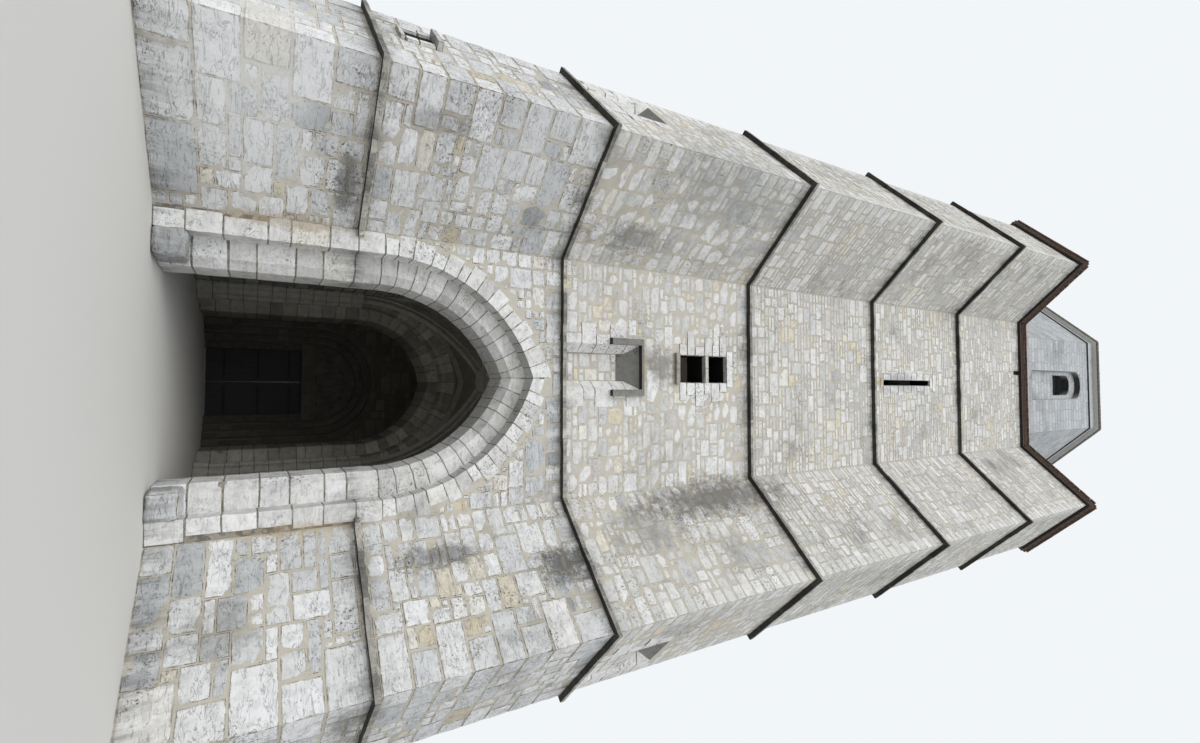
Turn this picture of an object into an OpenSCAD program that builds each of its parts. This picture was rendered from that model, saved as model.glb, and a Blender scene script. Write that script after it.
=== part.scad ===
// Fortified porch tower in limestone, 39.5 m tall.
// A square core carries four buttresses, each a square turned 45 degrees and
// centred on a corner of the core, so that the plan is an eight-pointed star.
// String courses divide it into five stages under a tiled skirt roof and an
// octagonal belfry. A pointed front arch opens on a rib-vaulted porch, whose
// rear arch frames a round-headed portal with two door leaves.
// Millimetres. Origin at the middle of the base, on the ground. Front is -Y.

/* [Plan] */
// Half width of the square core
core_half = 4185; // [4100:5:4300]
// How far each buttress stands out past the core's faces
buttress_out = 1840; // [1750:5:1900]
// Thickness of the tower's walls
wall_t = 1840; // [1780:5:1900]

/* [Stages] */
// Height of the ground stage, up to the first string course
ground_h = 2640; // [2500:5:2850]
// Height of the porch stage's wall
porch_h = 3615; // [3400:5:3700]
// Height of the second stage's wall
stage_2_h = 5035; // [4800:5:5300]
// Height of the third stage's wall
stage_3_h = 4995; // [4700:5:5300]
// Height of the fourth stage's wall
stage_4_h = 4745; // [4500:5:5000]
// Height of the fifth stage's wall
stage_5_h = 4465; // [4300:5:4800]

/* [String courses] */
// How far a string course stands out from the wall
string_out = 100; // [80:5:140]
// Height of a string course's upright face
string_face_h = 60; // [40:5:90]
// Height of the weathered slope above that face
string_slope_h = 45; // [30:5:70]

/* [Eaves and skirt roof] */
// How far the lower of the two tiled eaves courses stands out
eaves_step_out = 90; // [60:5:110]
// How far the upper one stands out
eaves_out = 170; // [130:5:220]
// Thickness of each of these two courses
eaves_course_h = 70; // [50:5:90]
// Pitch of the skirt roof in degrees
skirt_pitch = 35; // [30:1:40]

/* [Front arch] */
// Width of wall between the arch's outer ring and the room's side
arch_margin = 105; // [80:5:200]
// Height of wall between the outer ring's crown and the second string course
arch_cover = 360; // [300:10:450]
// How far the arch's two centres lie from the middle
arch_centre_x = 800; // [700:10:850]
// Width of the inner order, from the opening to the recess
inner_order_w = 420; // [380:10:450]
// Width of the flush outer ring of voussoirs
outer_order_w = 220; // [180:10:240]
// Depth of the outer ring, from the wall face to the inner order
outer_order_d = 350; // [300:10:400]
// Depth of the inner order
inner_order_d = 750; // [650:10:850]
// Width and depth of the chamfer on the inner order's front edge
order_chamfer = 130; // [60:5:150]
// Width of the jamb behind the inner order
rear_jamb_w = 225; // [150:5:280]

/* [Guard stones] */
// Height of the guard stones at the arch's feet
guard_h = 400; // [300:10:500]
// How far a guard stone stands out in front of the wall
guard_out = 100; // [60:10:160]

/* [Porch vault] */
// Thickness of the vault's web at its crown, under the floor
vault_crown_t = 330; // [250:10:400]
// How far the vault's arch centres lie from the middle
vault_centre_x = 559; // [500:1:600]
// Height of the floor over the vault, above the second string course's foot
floor_rise = 520; // [490:10:640]
// Thickness of that floor's paving
floor_t = 180; // [120:10:240]
// Width of a rib's upper moulding
rib_w = 240; // [200:10:280]
// Depth of a diagonal rib below the web
rib_d = 260; // [220:10:300]
// Width and depth of a rib's lower moulding
rib_roll = 120; // [80:10:140]
// Depth of the ribs along the walls
wall_rib_d = 110; // [80:10:140]
// Width of the ribs along the walls
wall_rib_w = 130; // [90:10:160]
// Radius of the keystone
keystone_r = 270; // [220:10:320]
// How far the keystone hangs below the ribs
keystone_drop = 60; // [30:5:90]
// Radius of the middle shaft in each corner
shaft_r = 160; // [140:5:180]
// Distance from the middle shaft's axis to each wall
shaft_inset = 110; // [90:5:130]
// Radius of the two smaller shafts beside it
side_shaft_r = 75; // [60:5:90]
// Distance from a smaller shaft's axis to the room's corner
side_shaft_off = 280; // [240:5:300]
// Height of the shafts' plinth
plinth_h = 190; // [150:10:240]
// Height of the shafts' base above the plinth
base_h = 130; // [100:10:180]
// How far the plinth stands out from the shafts
plinth_out = 60; // [40:5:70]

/* [Rear arch] */
// Width of the outer order, from the room's side to the inner order
rear_return = 275; // [240:5:300]
// How far the rear arch's two centres lie from the middle
rear_centre_x = 245; // [200:5:280]
// Width of the rear arch's inner order
rear_order_w = 300; // [240:10:340]
// Depth of the rear arch's outer order
rear_order_d = 560; // [450:10:650]
// Width and depth of the chamfers on both orders' front edges
rear_chamfer = 70; // [40:5:90]

/* [Portal] */
// How far the portal's outer order stands inside the rear arch's opening
portal_reveal = 20; // [10:5:60]
// Height of the lintel over the doorway
lintel_h = 350; // [300:10:400]
// Width of each door jamb
portal_jamb_w = 200; // [150:10:260]
// Width of each of the portal's orders
portal_order_w = 200; // [170:5:210]
// How far each order stands behind the one outside it
portal_step = 170; // [140:5:180]
// Thickness of the tympanum and of the door's jambs
tympanum_t = 230; // [200:5:260]
// Rise of the portal block's top from its rear face to the tower
portal_weathering = 420; // [300:10:500]

/* [Door] */
// Height of the doorway
door_h = 2400; // [2300:10:2450]
// Thickness of a door leaf
leaf_t = 80; // [60:5:90]
// How far the closed leaves cover the jambs and the lintel
door_rebate = 70; // [50:5:90]
// Running clearance round a door leaf
door_gap = 8; // [6:1:12]
// Gap between the two closed leaves
door_meeting = 12; // [12:1:16]
// Radius of a hinge pintle
pintle_r = 16; // [12:1:20]
// Thickness of the strap's eye round its pintle
eye_t = 12; // [8:1:15]
// Height of a hinge strap and its eye
strap_h = 80; // [60:5:100]
// Distance from a hinge strap's tip to the leaf's free edge
strap_end = 166; // [100:2:300]
// Height of the lower hinge above the ground
lower_hinge_z = 420; // [350:10:500]
// Distance from the upper hinge up to the doorway's head
upper_hinge_drop = 500; // [400:10:600]

/* [Front openings] */
// Distance of the second stage's window from the middle, to the left
window_off = 250; // [150:10:350]
// Width of the window in the second stage
window_w = 620; // [540:10:700]
// Distance from that window's head up to the third string course
window_drop = 700; // [600:10:800]
// Height of the window's lower light
window_lower_h = 780; // [700:10:850]
// Height of the window's upper light
window_upper_h = 570; // [500:10:640]
// Height of the transom between the two lights
transom_h = 100; // [80:5:140]
// Width, height and stand-out of the window's sill stone
window_sill_w = 700; // [640:10:800]
window_sill_h = 130; // [100:5:160]
window_sill_out = 80; // [50:5:110]
// Width of a blocked niche at its back
niche_w = 590; // [540:10:640]
// Height of a niche above the second string course
niche_h = 1780; // [1600:10:1900]
// Depth of a niche
niche_d = 260; // [200:10:320]
// How much wider a niche is at the wall's face, on each side
niche_splay = 170; // [120:5:200]
// Depth over which the niche's jambs splay
niche_splay_d = 180; // [140:5:190]
// How far the niche's sloping head comes down to its back
niche_head_drop = 420; // [300:10:500]
// Distance of a buttress's niche from the middle of its end face
end_niche_off = 380; // [300:10:450]
// Height of the stones that block a buttress's niche
end_niche_fill_h = 1120; // [1000:10:1200]
// How far those stones stand behind the wall's face
end_niche_setback = 50; // [30:5:80]

/* [Niche hood] */
// Width of the hood over the front niche, over its two drops
hood_w = 1190; // [1100:10:1250]
// Height of the hood's level part
hood_h = 120; // [90:5:150]
// How far the hood stands out from the wall
hood_out = 110; // [80:5:140]
// Width of each of the hood's drops
hood_drop_w = 130; // [100:5:160]
// Length of each of the hood's drops below the niche's head
hood_drop_l = 740; // [600:10:800]

/* [Slit] */
// Width of the slit in the fourth stage
slit_w = 160; // [130:5:220]
// Height of the slit's sill above the fourth string course
slit_rise = 480; // [400:10:600]
// Height of the slit
slit_h = 2550; // [2300:10:2800]
// How much wider an opening is inside than outside, on each side
splay = 350; // [250:10:450]
// Width of the beam hole under the eaves
beam_hole_w = 150; // [100:5:200]
// Height of the beam hole
beam_hole_h = 420; // [300:10:500]
// Distance of the beam hole from the middle, to the left
beam_hole_off = 430; // [300:10:550]

/* [Belfry] */
// How far the belfry's main faces stand behind the tower's
belfry_setback = 375; // [350:5:450]
// How far each corner of the belfry's square is cut back along its faces
belfry_corner_cut = 1882; // [1800:1:1950]
// Thickness of the belfry's walls
belfry_wall_t = 900; // [800:10:1000]
// Thickness of the belfry's floor
belfry_floor_t = 250; // [200:10:300]
// Height of the belfry's walls, from the tower's eaves to the cornice
belfry_wall_h = 7800; // [7500:10:8200]
// Height of the band at the cornice's foot
cornice_band_h = 70; // [50:5:120]
// How far the cornice band stands out
cornice_out = 60; // [40:5:90]
// Height of the frieze from the band's foot to the belfry's eaves
frieze_h = 620; // [500:10:800]
// How far the belfry's roof stands out
roof_out = 160; // [120:5:200]
// Height of the belfry's roof
roof_h = 2100; // [1900:10:2200]
// Radius of the flat cap at the roof's top
roof_cap_r = 150; // [100:10:200]
// Thickness of the roof at its eaves
roof_edge_h = 90; // [60:5:120]
// Width of a belfry window's opening
bell_window_w = 860; // [760:10:940]
// Width of the arched panel round that opening
bell_panel_w = 1200; // [1100:10:1300]
// Depth of the panel
bell_panel_d = 200; // [120:10:260]
// Height of the opening's sill above the tower's eaves
bell_sill_rise = 4600; // [4400:10:4800]
// Height of the opening from its sill to its springing
bell_light_h = 1290; // [1200:10:1450]
// Height of the panel's springing above the opening's
bell_panel_over = 450; // [350:10:550]
// Height of the panel below the opening's sill
bell_panel_h = 2560; // [2400:10:2700]

/* [Hidden] */
$fn = 240;

// Stone, tile and timber colours
pale_stone = "#cfc8ba";
grey_stone = "#a9a59b";
porch_stone = "#8f8a80";
tile_brown = "#6b4a38";
door_blue = "#232a33";

far = 20000;
sides = [-1, 1];
front_y = -core_half;
room_half = core_half - wall_t;
foot_half = core_half - buttress_out;
buttress_half = buttress_out / sqrt(2);
string_h = string_face_h + string_slope_h;
string_1_z = ground_h;
porch_z = string_1_z + string_h;
string_2_z = porch_z + porch_h;
stage_2_z = string_2_z + string_h;
string_3_z = stage_2_z + stage_2_h;
stage_3_z = string_3_z + string_h;
string_4_z = stage_3_z + stage_3_h;
stage_4_z = string_4_z + string_h;
string_5_z = stage_4_z + stage_4_h;
stage_5_z = string_5_z + string_h;
eaves_z = stage_5_z + stage_5_h;
eaves_top = eaves_z + 2 * eaves_course_h;

// The star's outline, grown outwards: by quarter turns, the foot, the two
// nose corners and the other foot of one buttress
function turned(p, quarter) =
    quarter == 0 ? p : turned([-p[1], p[0]], quarter - 1);
function star_outline(out) = let (
    face = core_half + out,
    nose = core_half + buttress_out + out * sqrt(2),
    foot = core_half - buttress_out - out * (sqrt(2) - 1)
) [
    for (quarter = [0:3])
    for (p = [[foot, -face], [core_half, -nose], [nose, -core_half], [face, -foot]])
    turned(p, quarter)
];

// One corner of the star beyond the room, with its buttress
module corner_plan(quarter) {
    rotate(90 * quarter)
        intersection() {
            polygon(star_outline(0));
            translate([room_half, -far])
                square([far - room_half, far - room_half]);
        }
}

// One wall between two corners: 0 is the front, 1 the right, 2 the back
module wall_plan(quarter) {
    rotate(90 * quarter)
        intersection() {
            polygon(star_outline(0));
            translate([-room_half, -far])
                square([2 * room_half, far - room_half]);
        }
}

module raised(z0, z1) {
    translate([0, 0, z0])
        linear_extrude(z1 - z0)
            children();
}

module buttresses(z0, z1) {
    for (quarter = [0:3])
        raised(z0, z1) corner_plan(quarter);
}

module walls(z0, z1, quarters) {
    for (quarter = quarters)
        raised(z0, z1) wall_plan(quarter);
}

// A square course with an upright face and a weathered slope above it, which
// runs on up past the course's top and is cut level there
module weathered_square(half, out, face_h, slope_h) {
    profile = [
        [-half - out, 0], [half + out, 0], [half + out, face_h],
        [half - out, face_h + 2 * slope_h], [out - half, face_h + 2 * slope_h], [-half - out, face_h]
    ];
    intersection_for (turn = [0, 90])
        rotate([90, 0, turn])
            linear_extrude(2 * (half + out), center = true)
                polygon(profile);
}

module at_corners() {
    for (sx = sides, sy = sides)
        translate([sx * core_half, sy * core_half, 0])
            rotate(45)
                children();
}

// A string course follows the whole star and is open over the room
module star_string(z) {
    translate([0, 0, z])
        difference() {
            union() {
                weathered_square(core_half, string_out, string_face_h, string_slope_h);
                at_corners() weathered_square(buttress_half, string_out, string_face_h, string_slope_h);
            }
            translate([-room_half, -room_half, -1])
                cube([2 * room_half, 2 * room_half, string_h + 2]);
            translate([-far, -far, string_h])
                cube([2 * far, 2 * far, far]);
        }
}

module string_course(z) {
    color(grey_stone) star_string(z);
}

// Pointed opening in elevation, from its springing up, and from the ground
module pointed_head(half, centre_x, spring_z) {
    intersection() {
        intersection_for (s = sides)
            translate([s * centre_x, spring_z])
                circle(half + centre_x);
        translate([-far, spring_z])
            square([2 * far, far]);
    }
}

module pointed_opening(half, centre_x, spring_z) {
    pointed_head(half, centre_x, spring_z);
    translate([-half, -1])
        square([2 * half, spring_z + 1]);
}

module round_opening(r, spring_z, foot_z) {
    intersection() {
        translate([0, spring_z])
            circle(r);
        translate([-far, spring_z])
            square([2 * far, far]);
    }
    translate([-r, foot_z])
        square([2 * r, spring_z - foot_z]);
}

// An elevation given thickness, from y0 back to y1
module through(y0, y1) {
    translate([0, y1, 0])
        rotate([90, 0, 0])
            linear_extrude(y1 - y0)
                children();
}

// One order of a pointed arch, as its section swept round both centres.
// The section is drawn with the distance out from the opening edge along x
// and the distance in front of the tower's middle along y. Each side is swept
// past the crown and cut off at the middle.
crown_overrun = 2;

module pointed_order(half, centre_x, spring_z, width, section) {
    crown_angle = acos(centre_x / (half + width + centre_x));
    for (s = sides)
        intersection() {
            translate([-s * centre_x, 0, spring_z])
                mirror([s < 0 ? 1 : 0, 0, 0])
                    rotate([90, 0, 0])
                        rotate_extrude(angle = crown_angle + crown_overrun)
                            translate([half + centre_x, 0])
                                polygon(section);
            translate([s < 0 ? -far : 0, -far, 0])
                cube([far, 2 * far, far]);
        }
}

function box_section(width, y0, y1) = [[0, -y1], [width, -y1], [width, -y0], [0, -y0]];

inner_y = front_y + outer_order_d;
inner_back_y = inner_y + inner_order_d;
outer_half = room_half - arch_margin;
recess_half = outer_half - outer_order_w;
arch_half = recess_half - inner_order_w;
rear_recess_half = room_half - rear_jamb_w;
arch_spring_z = string_2_z - arch_cover
    - sqrt(pow(outer_half + arch_centre_x, 2) - pow(arch_centre_x, 2));
inner_section = [
    [0, -inner_back_y], [inner_order_w, -inner_back_y], [inner_order_w, -inner_y],
    [order_chamfer, -inner_y], [0, -inner_y - order_chamfer]
];

module string_1() {
    color(grey_stone)
        difference() {
            star_string(string_1_z);
            translate([-outer_half, -far, 0])
                cube([2 * outer_half, 2 * far, far]);
            translate([-room_half, front_y, 0])
                cube([2 * room_half, far, far]);
            raised(0, far) portal_plan();
        }
}

// Jambs under the front arch, from the ground to the springing: the front
// wall less the stepped way through it
module front_way_plan() {
    for (s = sides)
        mirror([s < 0 ? 1 : 0, 0])
            polygon([
                [-1, -far], [recess_half, -far], [recess_half, inner_y],
                [arch_half + order_chamfer, inner_y], [arch_half, inner_y + order_chamfer],
                [arch_half, inner_back_y], [rear_recess_half, inner_back_y],
                [rear_recess_half, 0], [-1, 0]
            ]);
}

module front_arch_jambs() {
    color(pale_stone)
        linear_extrude(arch_spring_z)
            difference() {
                wall_plan(0);
                front_way_plan();
            }
}

// Blocks that fill the foot of each jamb's recess and stand out in front of it
module guard_stones() {
    color(grey_stone)
        for (s = sides)
            mirror([s < 0 ? 1 : 0, 0, 0])
                intersection() {
                    linear_extrude(guard_h)
                        polygon([
                            [arch_half, front_y - guard_out], [recess_half, front_y - guard_out],
                            [recess_half, inner_y],
                            [arch_half + order_chamfer, inner_y], [arch_half, inner_y + order_chamfer]
                        ]);
                    rotate([90, 0, 90])
                        linear_extrude(far)
                            polygon([
                                [front_y - guard_out, 0], [0, 0], [0, guard_h],
                                [front_y, guard_h], [front_y - guard_out, guard_h - guard_out]
                            ]);
                }
}

module front_arch_outer_order() {
    color(pale_stone)
        pointed_order(recess_half, arch_centre_x, arch_spring_z, outer_order_w,
            box_section(outer_order_w, front_y, inner_y));
}

module front_arch_inner_order() {
    color(pale_stone)
        pointed_order(arch_half, arch_centre_x, arch_spring_z, inner_order_w, inner_section);
}

module front_spandrel() {
    color(pale_stone)
        difference() {
            walls(arch_spring_z, string_2_z, [0]);
            through(-far, inner_y) pointed_opening(outer_half, arch_centre_x, arch_spring_z);
            through(inner_y - 1, inner_back_y) pointed_opening(recess_half, arch_centre_x, arch_spring_z);
            through(inner_back_y - 1, 1 - room_half)
                pointed_opening(rear_recess_half, arch_centre_x, arch_spring_z);
        }
}

// The hollow of the groin vault: two crossing pointed barrels
floor_z = string_2_z + floor_rise;
vault_r = room_half + vault_centre_x;
vault_crown_z = floor_z - vault_crown_t;
vault_spring_z = vault_crown_z - sqrt(pow(vault_r, 2) - pow(vault_centre_x, 2));

module crossing_barrels() {
    for (turn = [0, 90])
        rotate(turn)
            through(-far, far) pointed_head(room_half, vault_centre_x, vault_spring_z);
}

module vault_web() {
    color(porch_stone)
        difference() {
            translate([-room_half, -room_half, vault_spring_z])
                cube([2 * room_half, 2 * room_half, floor_z - vault_spring_z]);
            crossing_barrels();
        }
}

// A groin seen square on to its diagonal is an ellipse: a point and its normal
function groin_point(t) =
    [sqrt(2) * (vault_r * cos(t) - vault_centre_x), vault_spring_z + vault_r * sin(t)];
function groin_normal(t) =
    [cos(t), sqrt(2) * sin(t)] / sqrt(pow(cos(t), 2) + 2 * pow(sin(t), 2));
function groin_offset(t, d) = groin_point(t) + d * groin_normal(t);

rib_steps = 14;
groin_crown = acos(vault_centre_x / vault_r);
rib_top_z = (floor_z + vault_crown_z) / 2;

module rib_part(width, depth) {
    lower = [for (i = [0:rib_steps]) groin_offset(i * groin_crown / rib_steps, -depth)];
    inner = [for (p = lower) if (p[0] > 0) p];
    mirrored = [for (i = [len(inner) - 1:-1:0]) [-inner[i][0], inner[i][1]]];
    reach = sqrt(2) * room_half;
    translate([0, width / 2, 0])
        rotate([90, 0, 0])
            linear_extrude(width)
                polygon(concat(
                    [[reach, vault_spring_z]], inner, mirrored,
                    [[-reach, vault_spring_z], [-reach, rib_top_z], [reach, rib_top_z]]
                ));
}

// A diagonal rib's wide upper moulding and its narrow lower one
module diagonal_rib() {
    rib_part(rib_w, rib_d - rib_roll);
    rib_part(rib_roll, rib_d);
}

// A rib along the front wall, under the web's edge
module wall_rib() {
    pointed_order(room_half - wall_rib_d, vault_centre_x, vault_spring_z, 2 * wall_rib_d,
        box_section(2 * wall_rib_d, -room_half, wall_rib_w - room_half));
}

module vault_ribs() {
    color(porch_stone)
        difference() {
            intersection() {
                union() {
                    rotate(45) diagonal_rib();
                    rotate(-45) diagonal_rib();
                    for (quarter = [0:3])
                        rotate(90 * quarter) wall_rib();
                }
                translate([-room_half, -room_half, vault_spring_z])
                    cube([2 * room_half, 2 * room_half, far]);
                crossing_barrels();
            }
            cylinder(h = far, r = keystone_r);
        }
}

module vault_keystone() {
    keystone_foot = groin_offset(groin_crown, -rib_d)[1] - keystone_drop;
    color(porch_stone)
        intersection() {
            translate([0, 0, keystone_foot])
                cylinder(h = floor_z - keystone_foot, r = keystone_r);
            crossing_barrels();
        }
}

// A corner's middle shaft with a smaller one on each side, and the masonry
// behind them, drawn for the corner at the origin with the room towards -X -Y
module shaft_cluster(out) {
    side_in = side_shaft_r / 2;
    translate([-shaft_inset, -shaft_inset])
        circle(shaft_r + out);
    for (p = [[-side_shaft_off, -side_in], [-side_in, -side_shaft_off]])
        translate(p)
            circle(side_shaft_r + out);
    polygon([[0, 0], [-side_shaft_off, 0], [-side_shaft_off, -side_in],
        [-side_in, -side_shaft_off], [0, -side_shaft_off]]);
}

module vault_shafts() {
    color(porch_stone)
        for (quarter = [0:3])
            rotate(90 * quarter)
                intersection() {
                    translate([room_half, room_half, 0]) {
                        linear_extrude(plinth_h) shaft_cluster(plinth_out);
                        linear_extrude(plinth_h + base_h) shaft_cluster(plinth_out / 2);
                        linear_extrude(vault_spring_z) shaft_cluster(0);
                    }
                    cube([room_half, room_half, vault_spring_z]);
                }
}

// The rear wall of the porch, opened by an arch of two chamfered orders
rear_outer_half = room_half - rear_return;
rear_half = rear_outer_half - rear_order_w;
rear_spring_z = vault_spring_z;
rear_outer_w = (room_half - rear_outer_half) / 2;
rear_step_y = room_half + rear_order_d;

module rear_arch_piers() {
    color(porch_stone)
        for (s = sides)
            mirror([s < 0 ? 1 : 0, 0, 0])
                linear_extrude(rear_spring_z)
                    polygon([
                        [rear_outer_half + rear_chamfer, room_half], [room_half, room_half],
                        [room_half, core_half], [rear_half, core_half],
                        [rear_half, rear_step_y + rear_chamfer], [rear_half + rear_chamfer, rear_step_y],
                        [rear_outer_half, rear_step_y], [rear_outer_half, room_half + rear_chamfer]
                    ]);
}

// Section of an order between two depths, with a chamfer on its front edge
function chamfered_section(width, y0, y1) =
    [[0, -y1], [width, -y1], [width, -y0], [rear_chamfer, -y0], [0, -y0 - rear_chamfer]];

module rear_arch_outer_order() {
    color(porch_stone)
        pointed_order(rear_outer_half, rear_centre_x, rear_spring_z, rear_outer_w,
            chamfered_section(rear_outer_w, room_half, rear_step_y));
}

module rear_arch_inner_order() {
    color(porch_stone)
        pointed_order(rear_half, rear_centre_x, rear_spring_z, rear_order_w,
            chamfered_section(rear_order_w, rear_step_y, core_half));
}

module rear_spandrel() {
    color(porch_stone)
        difference() {
            translate([-room_half, room_half, rear_spring_z])
                cube([2 * room_half, wall_t, string_2_z - rear_spring_z]);
            through(room_half - 1, rear_step_y)
                pointed_opening(rear_outer_half + rear_outer_w, rear_centre_x, rear_spring_z);
            through(rear_step_y - 1, core_half + 1)
                pointed_opening(rear_outer_half, rear_centre_x, rear_spring_z);
        }
}

// The portal stands between the two rear buttresses, up to the second string
portal_back_y = core_half + buttress_out;
portal_r = rear_half - portal_reveal;
portal_spring_z = door_h + lintel_h;
tympanum_r = portal_r - 3 * portal_order_w;
door_w = 2 * (tympanum_r - portal_jamb_w);
door_y = core_half + 3 * portal_step + tympanum_t;
leaf_half = door_w / 2 + door_rebate;
leaf_w = leaf_half - door_meeting / 2;
leaf_h = door_h + door_rebate - door_gap;
embrasure_half = leaf_half + door_gap;
leaf_y = door_y + door_gap;
hinge_x = leaf_half - eye_t - pintle_r;
hinge_y = leaf_y + leaf_t + eye_t + pintle_r;
hinge_heights = [lower_hinge_z, door_h - upper_hinge_drop];
strap_l = hinge_x - door_meeting / 2 - strap_end;
pin_clearance = 0.3;

module portal_plan() {
    polygon([
        [foot_half, core_half], [core_half, portal_back_y],
        [-core_half, portal_back_y], [-foot_half, core_half]
    ]);
}

module portal_wall() {
    color(porch_stone)
        difference() {
            intersection() {
                raised(0, far) portal_plan();
                rotate([90, 0, 90])
                    linear_extrude(2 * far, center = true)
                        polygon([
                            [core_half, 0], [portal_back_y, 0],
                            [portal_back_y, string_2_z - portal_weathering], [core_half, string_2_z]
                        ]);
            }
            through(core_half - 1, door_y) round_opening(portal_r, portal_spring_z, -1);
            translate([-embrasure_half, door_y - 1, -1])
                cube([2 * embrasure_half, far, door_h + door_rebate + door_gap + 1]);
        }
}

// One order of the portal with its jambs, counted from the outside
module portal_order(i) {
    r = portal_r - i * portal_order_w;
    color(porch_stone)
        through(core_half + i * portal_step, door_y)
            difference() {
                round_opening(r, portal_spring_z, 0);
                round_opening(r - portal_order_w, portal_spring_z, -1);
            }
}

module portal_outer_order() {
    portal_order(0);
}

module portal_middle_order() {
    portal_order(1);
}

module portal_inner_order() {
    portal_order(2);
}

tympanum_y = door_y - tympanum_t;

module portal_jambs() {
    color(porch_stone)
        for (s = sides)
            translate([s < 0 ? -tympanum_r : door_w / 2, tympanum_y, 0])
                cube([tympanum_r - door_w / 2, tympanum_t, door_h]);
}

module portal_lintel() {
    color(porch_stone)
        translate([-tympanum_r, tympanum_y, door_h])
            cube([2 * tympanum_r, tympanum_t, portal_spring_z - door_h]);
}

module portal_tympanum() {
    color(porch_stone)
        intersection() {
            through(tympanum_y, door_y)
                translate([0, portal_spring_z])
                    circle(tympanum_r);
            translate([-far, 0, portal_spring_z])
                cube([2 * far, far, far]);
        }
}

// A leaf hangs on two straps, whose eyes turn on pintles set in the wall
module door_leaf() {
    eye_r = pintle_r + eye_t;
    color(door_blue)
        difference() {
            union() {
                translate([-leaf_half, leaf_y, door_gap])
                    cube([leaf_w, leaf_t, leaf_h]);
                for (z = hinge_heights) {
                    translate([-hinge_x, leaf_y + leaf_t, z])
                        cube([strap_l, eye_t, strap_h]);
                    translate([-hinge_x, hinge_y, z])
                        cylinder(h = strap_h, r = eye_r);
                }
            }
            for (z = hinge_heights)
                translate([-hinge_x, hinge_y, z - 1])
                    cylinder(h = strap_h + 2, r = pintle_r + pin_clearance);
        }
}

module left_door_leaf() {
    door_leaf();
}

module right_door_leaf() {
    mirror([1, 0, 0]) door_leaf();
}

module door_pintles() {
    arm_h = strap_h / 2;
    color("#3a3632")
        for (s = sides, z = hinge_heights)
            mirror([s < 0 ? 0 : 1, 0, 0]) {
                translate([-hinge_x, hinge_y, z - pin_clearance - arm_h])
                    cylinder(h = arm_h + pin_clearance + strap_h, r = pintle_r);
                translate([-embrasure_half, hinge_y - pintle_r, z - pin_clearance - arm_h])
                    cube([embrasure_half - hinge_x, 2 * pintle_r, arm_h]);
            }
}

module upper_floor() {
    color(grey_stone)
        translate([-room_half, -room_half, floor_z])
            cube([2 * room_half, 2 * room_half, floor_t]);
}

// A hole through the front wall that widens inwards, seen from above
module splayed_hole(x, width, z0, z1) {
    raised(z0, z1)
        polygon([
            [x - width / 2, front_y - 1], [x + width / 2, front_y - 1],
            [x + width / 2, front_y + wall_t / 3], [x + width / 2 + splay, 1 - room_half],
            [x - width / 2 - splay, 1 - room_half], [x - width / 2, front_y + wall_t / 3]
        ]);
}

window_head_z = string_3_z - window_drop;
window_mid_z = window_head_z - window_upper_h - transom_h;
window_sill_z = window_mid_z - window_lower_h;

// The hollow of a blocked niche, from the middle of its foot at the wall's
// face: splayed in plan, under a head that slopes down to its back
module niche_hollow() {
    mouth = niche_w / 2 + niche_splay;
    intersection() {
        raised(-1, niche_h)
            polygon([
                [-mouth, -1], [mouth, -1], [mouth, 0], [niche_w / 2, niche_splay_d],
                [niche_w / 2, niche_d], [-niche_w / 2, niche_d], [-niche_w / 2, niche_splay_d],
                [-mouth, 0]
            ]);
        rotate([90, 0, 90])
            linear_extrude(far, center = true)
                polygon([
                    [-1, -1], [niche_d, -1], [niche_d, niche_h - niche_head_drop],
                    [0, niche_h], [-1, niche_h]
                ]);
    }
}

// Each buttress has a niche in its end face, off centre towards the tower's
// side, and blocked in its lower part
module stage_2_buttresses() {
    color(pale_stone)
        difference() {
            buttresses(stage_2_z, string_3_z);
            for (sx = sides, sy = sides)
                mirror([sx < 0 ? 1 : 0, 0, 0])
                    mirror([0, sy > 0 ? 1 : 0, 0])
                        translate([core_half, -core_half, stage_2_z])
                            rotate(45)
                                translate([end_niche_off, -buttress_half, 0])
                                    difference() {
                                        niche_hollow();
                                        translate([-far, end_niche_setback, -2])
                                            cube([2 * far, far, end_niche_fill_h + 2]);
                                    }
        }
}

module stage_2_front_wall() {
    color(pale_stone)
        difference() {
            walls(stage_2_z, string_3_z, [0]);
            splayed_hole(-window_off, window_w, window_sill_z, window_mid_z);
            splayed_hole(-window_off, window_w, window_mid_z + transom_h, window_head_z);
            translate([-window_off, front_y, stage_2_z])
                niche_hollow();
        }
}

// The stone under the window stands out from the wall, with a weathered top
module window_sill() {
    color(grey_stone)
        translate([-window_off - window_sill_w / 2, front_y, window_sill_z - window_sill_h])
            rotate([90, 0, 90])
                linear_extrude(window_sill_w)
                    polygon([
                        [0, 0], [0, window_sill_h], [-window_sill_out, window_sill_h * 3 / 4],
                        [-window_sill_out, 0]
                    ]);
}

// A label over the front niche: a level moulding with a drop at each end
module niche_hood() {
    foot_z = stage_2_z + niche_h;
    top_z = foot_z + hood_h;
    color(grey_stone)
        translate([-window_off, 0, 0])
            intersection() {
                through(front_y - hood_out, front_y)
                    difference() {
                        translate([-hood_w / 2, foot_z - hood_drop_l])
                            square([hood_w, hood_drop_l + hood_h]);
                        translate([hood_drop_w - hood_w / 2, 0])
                            square([hood_w - 2 * hood_drop_w, foot_z]);
                    }
                rotate([90, 0, 90])
                    linear_extrude(2 * far, center = true)
                        polygon([
                            [front_y, 0], [front_y, top_z],
                            [front_y - hood_out, foot_z + hood_h / 2], [front_y - hood_out, 0]
                        ]);
            }
}

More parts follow.
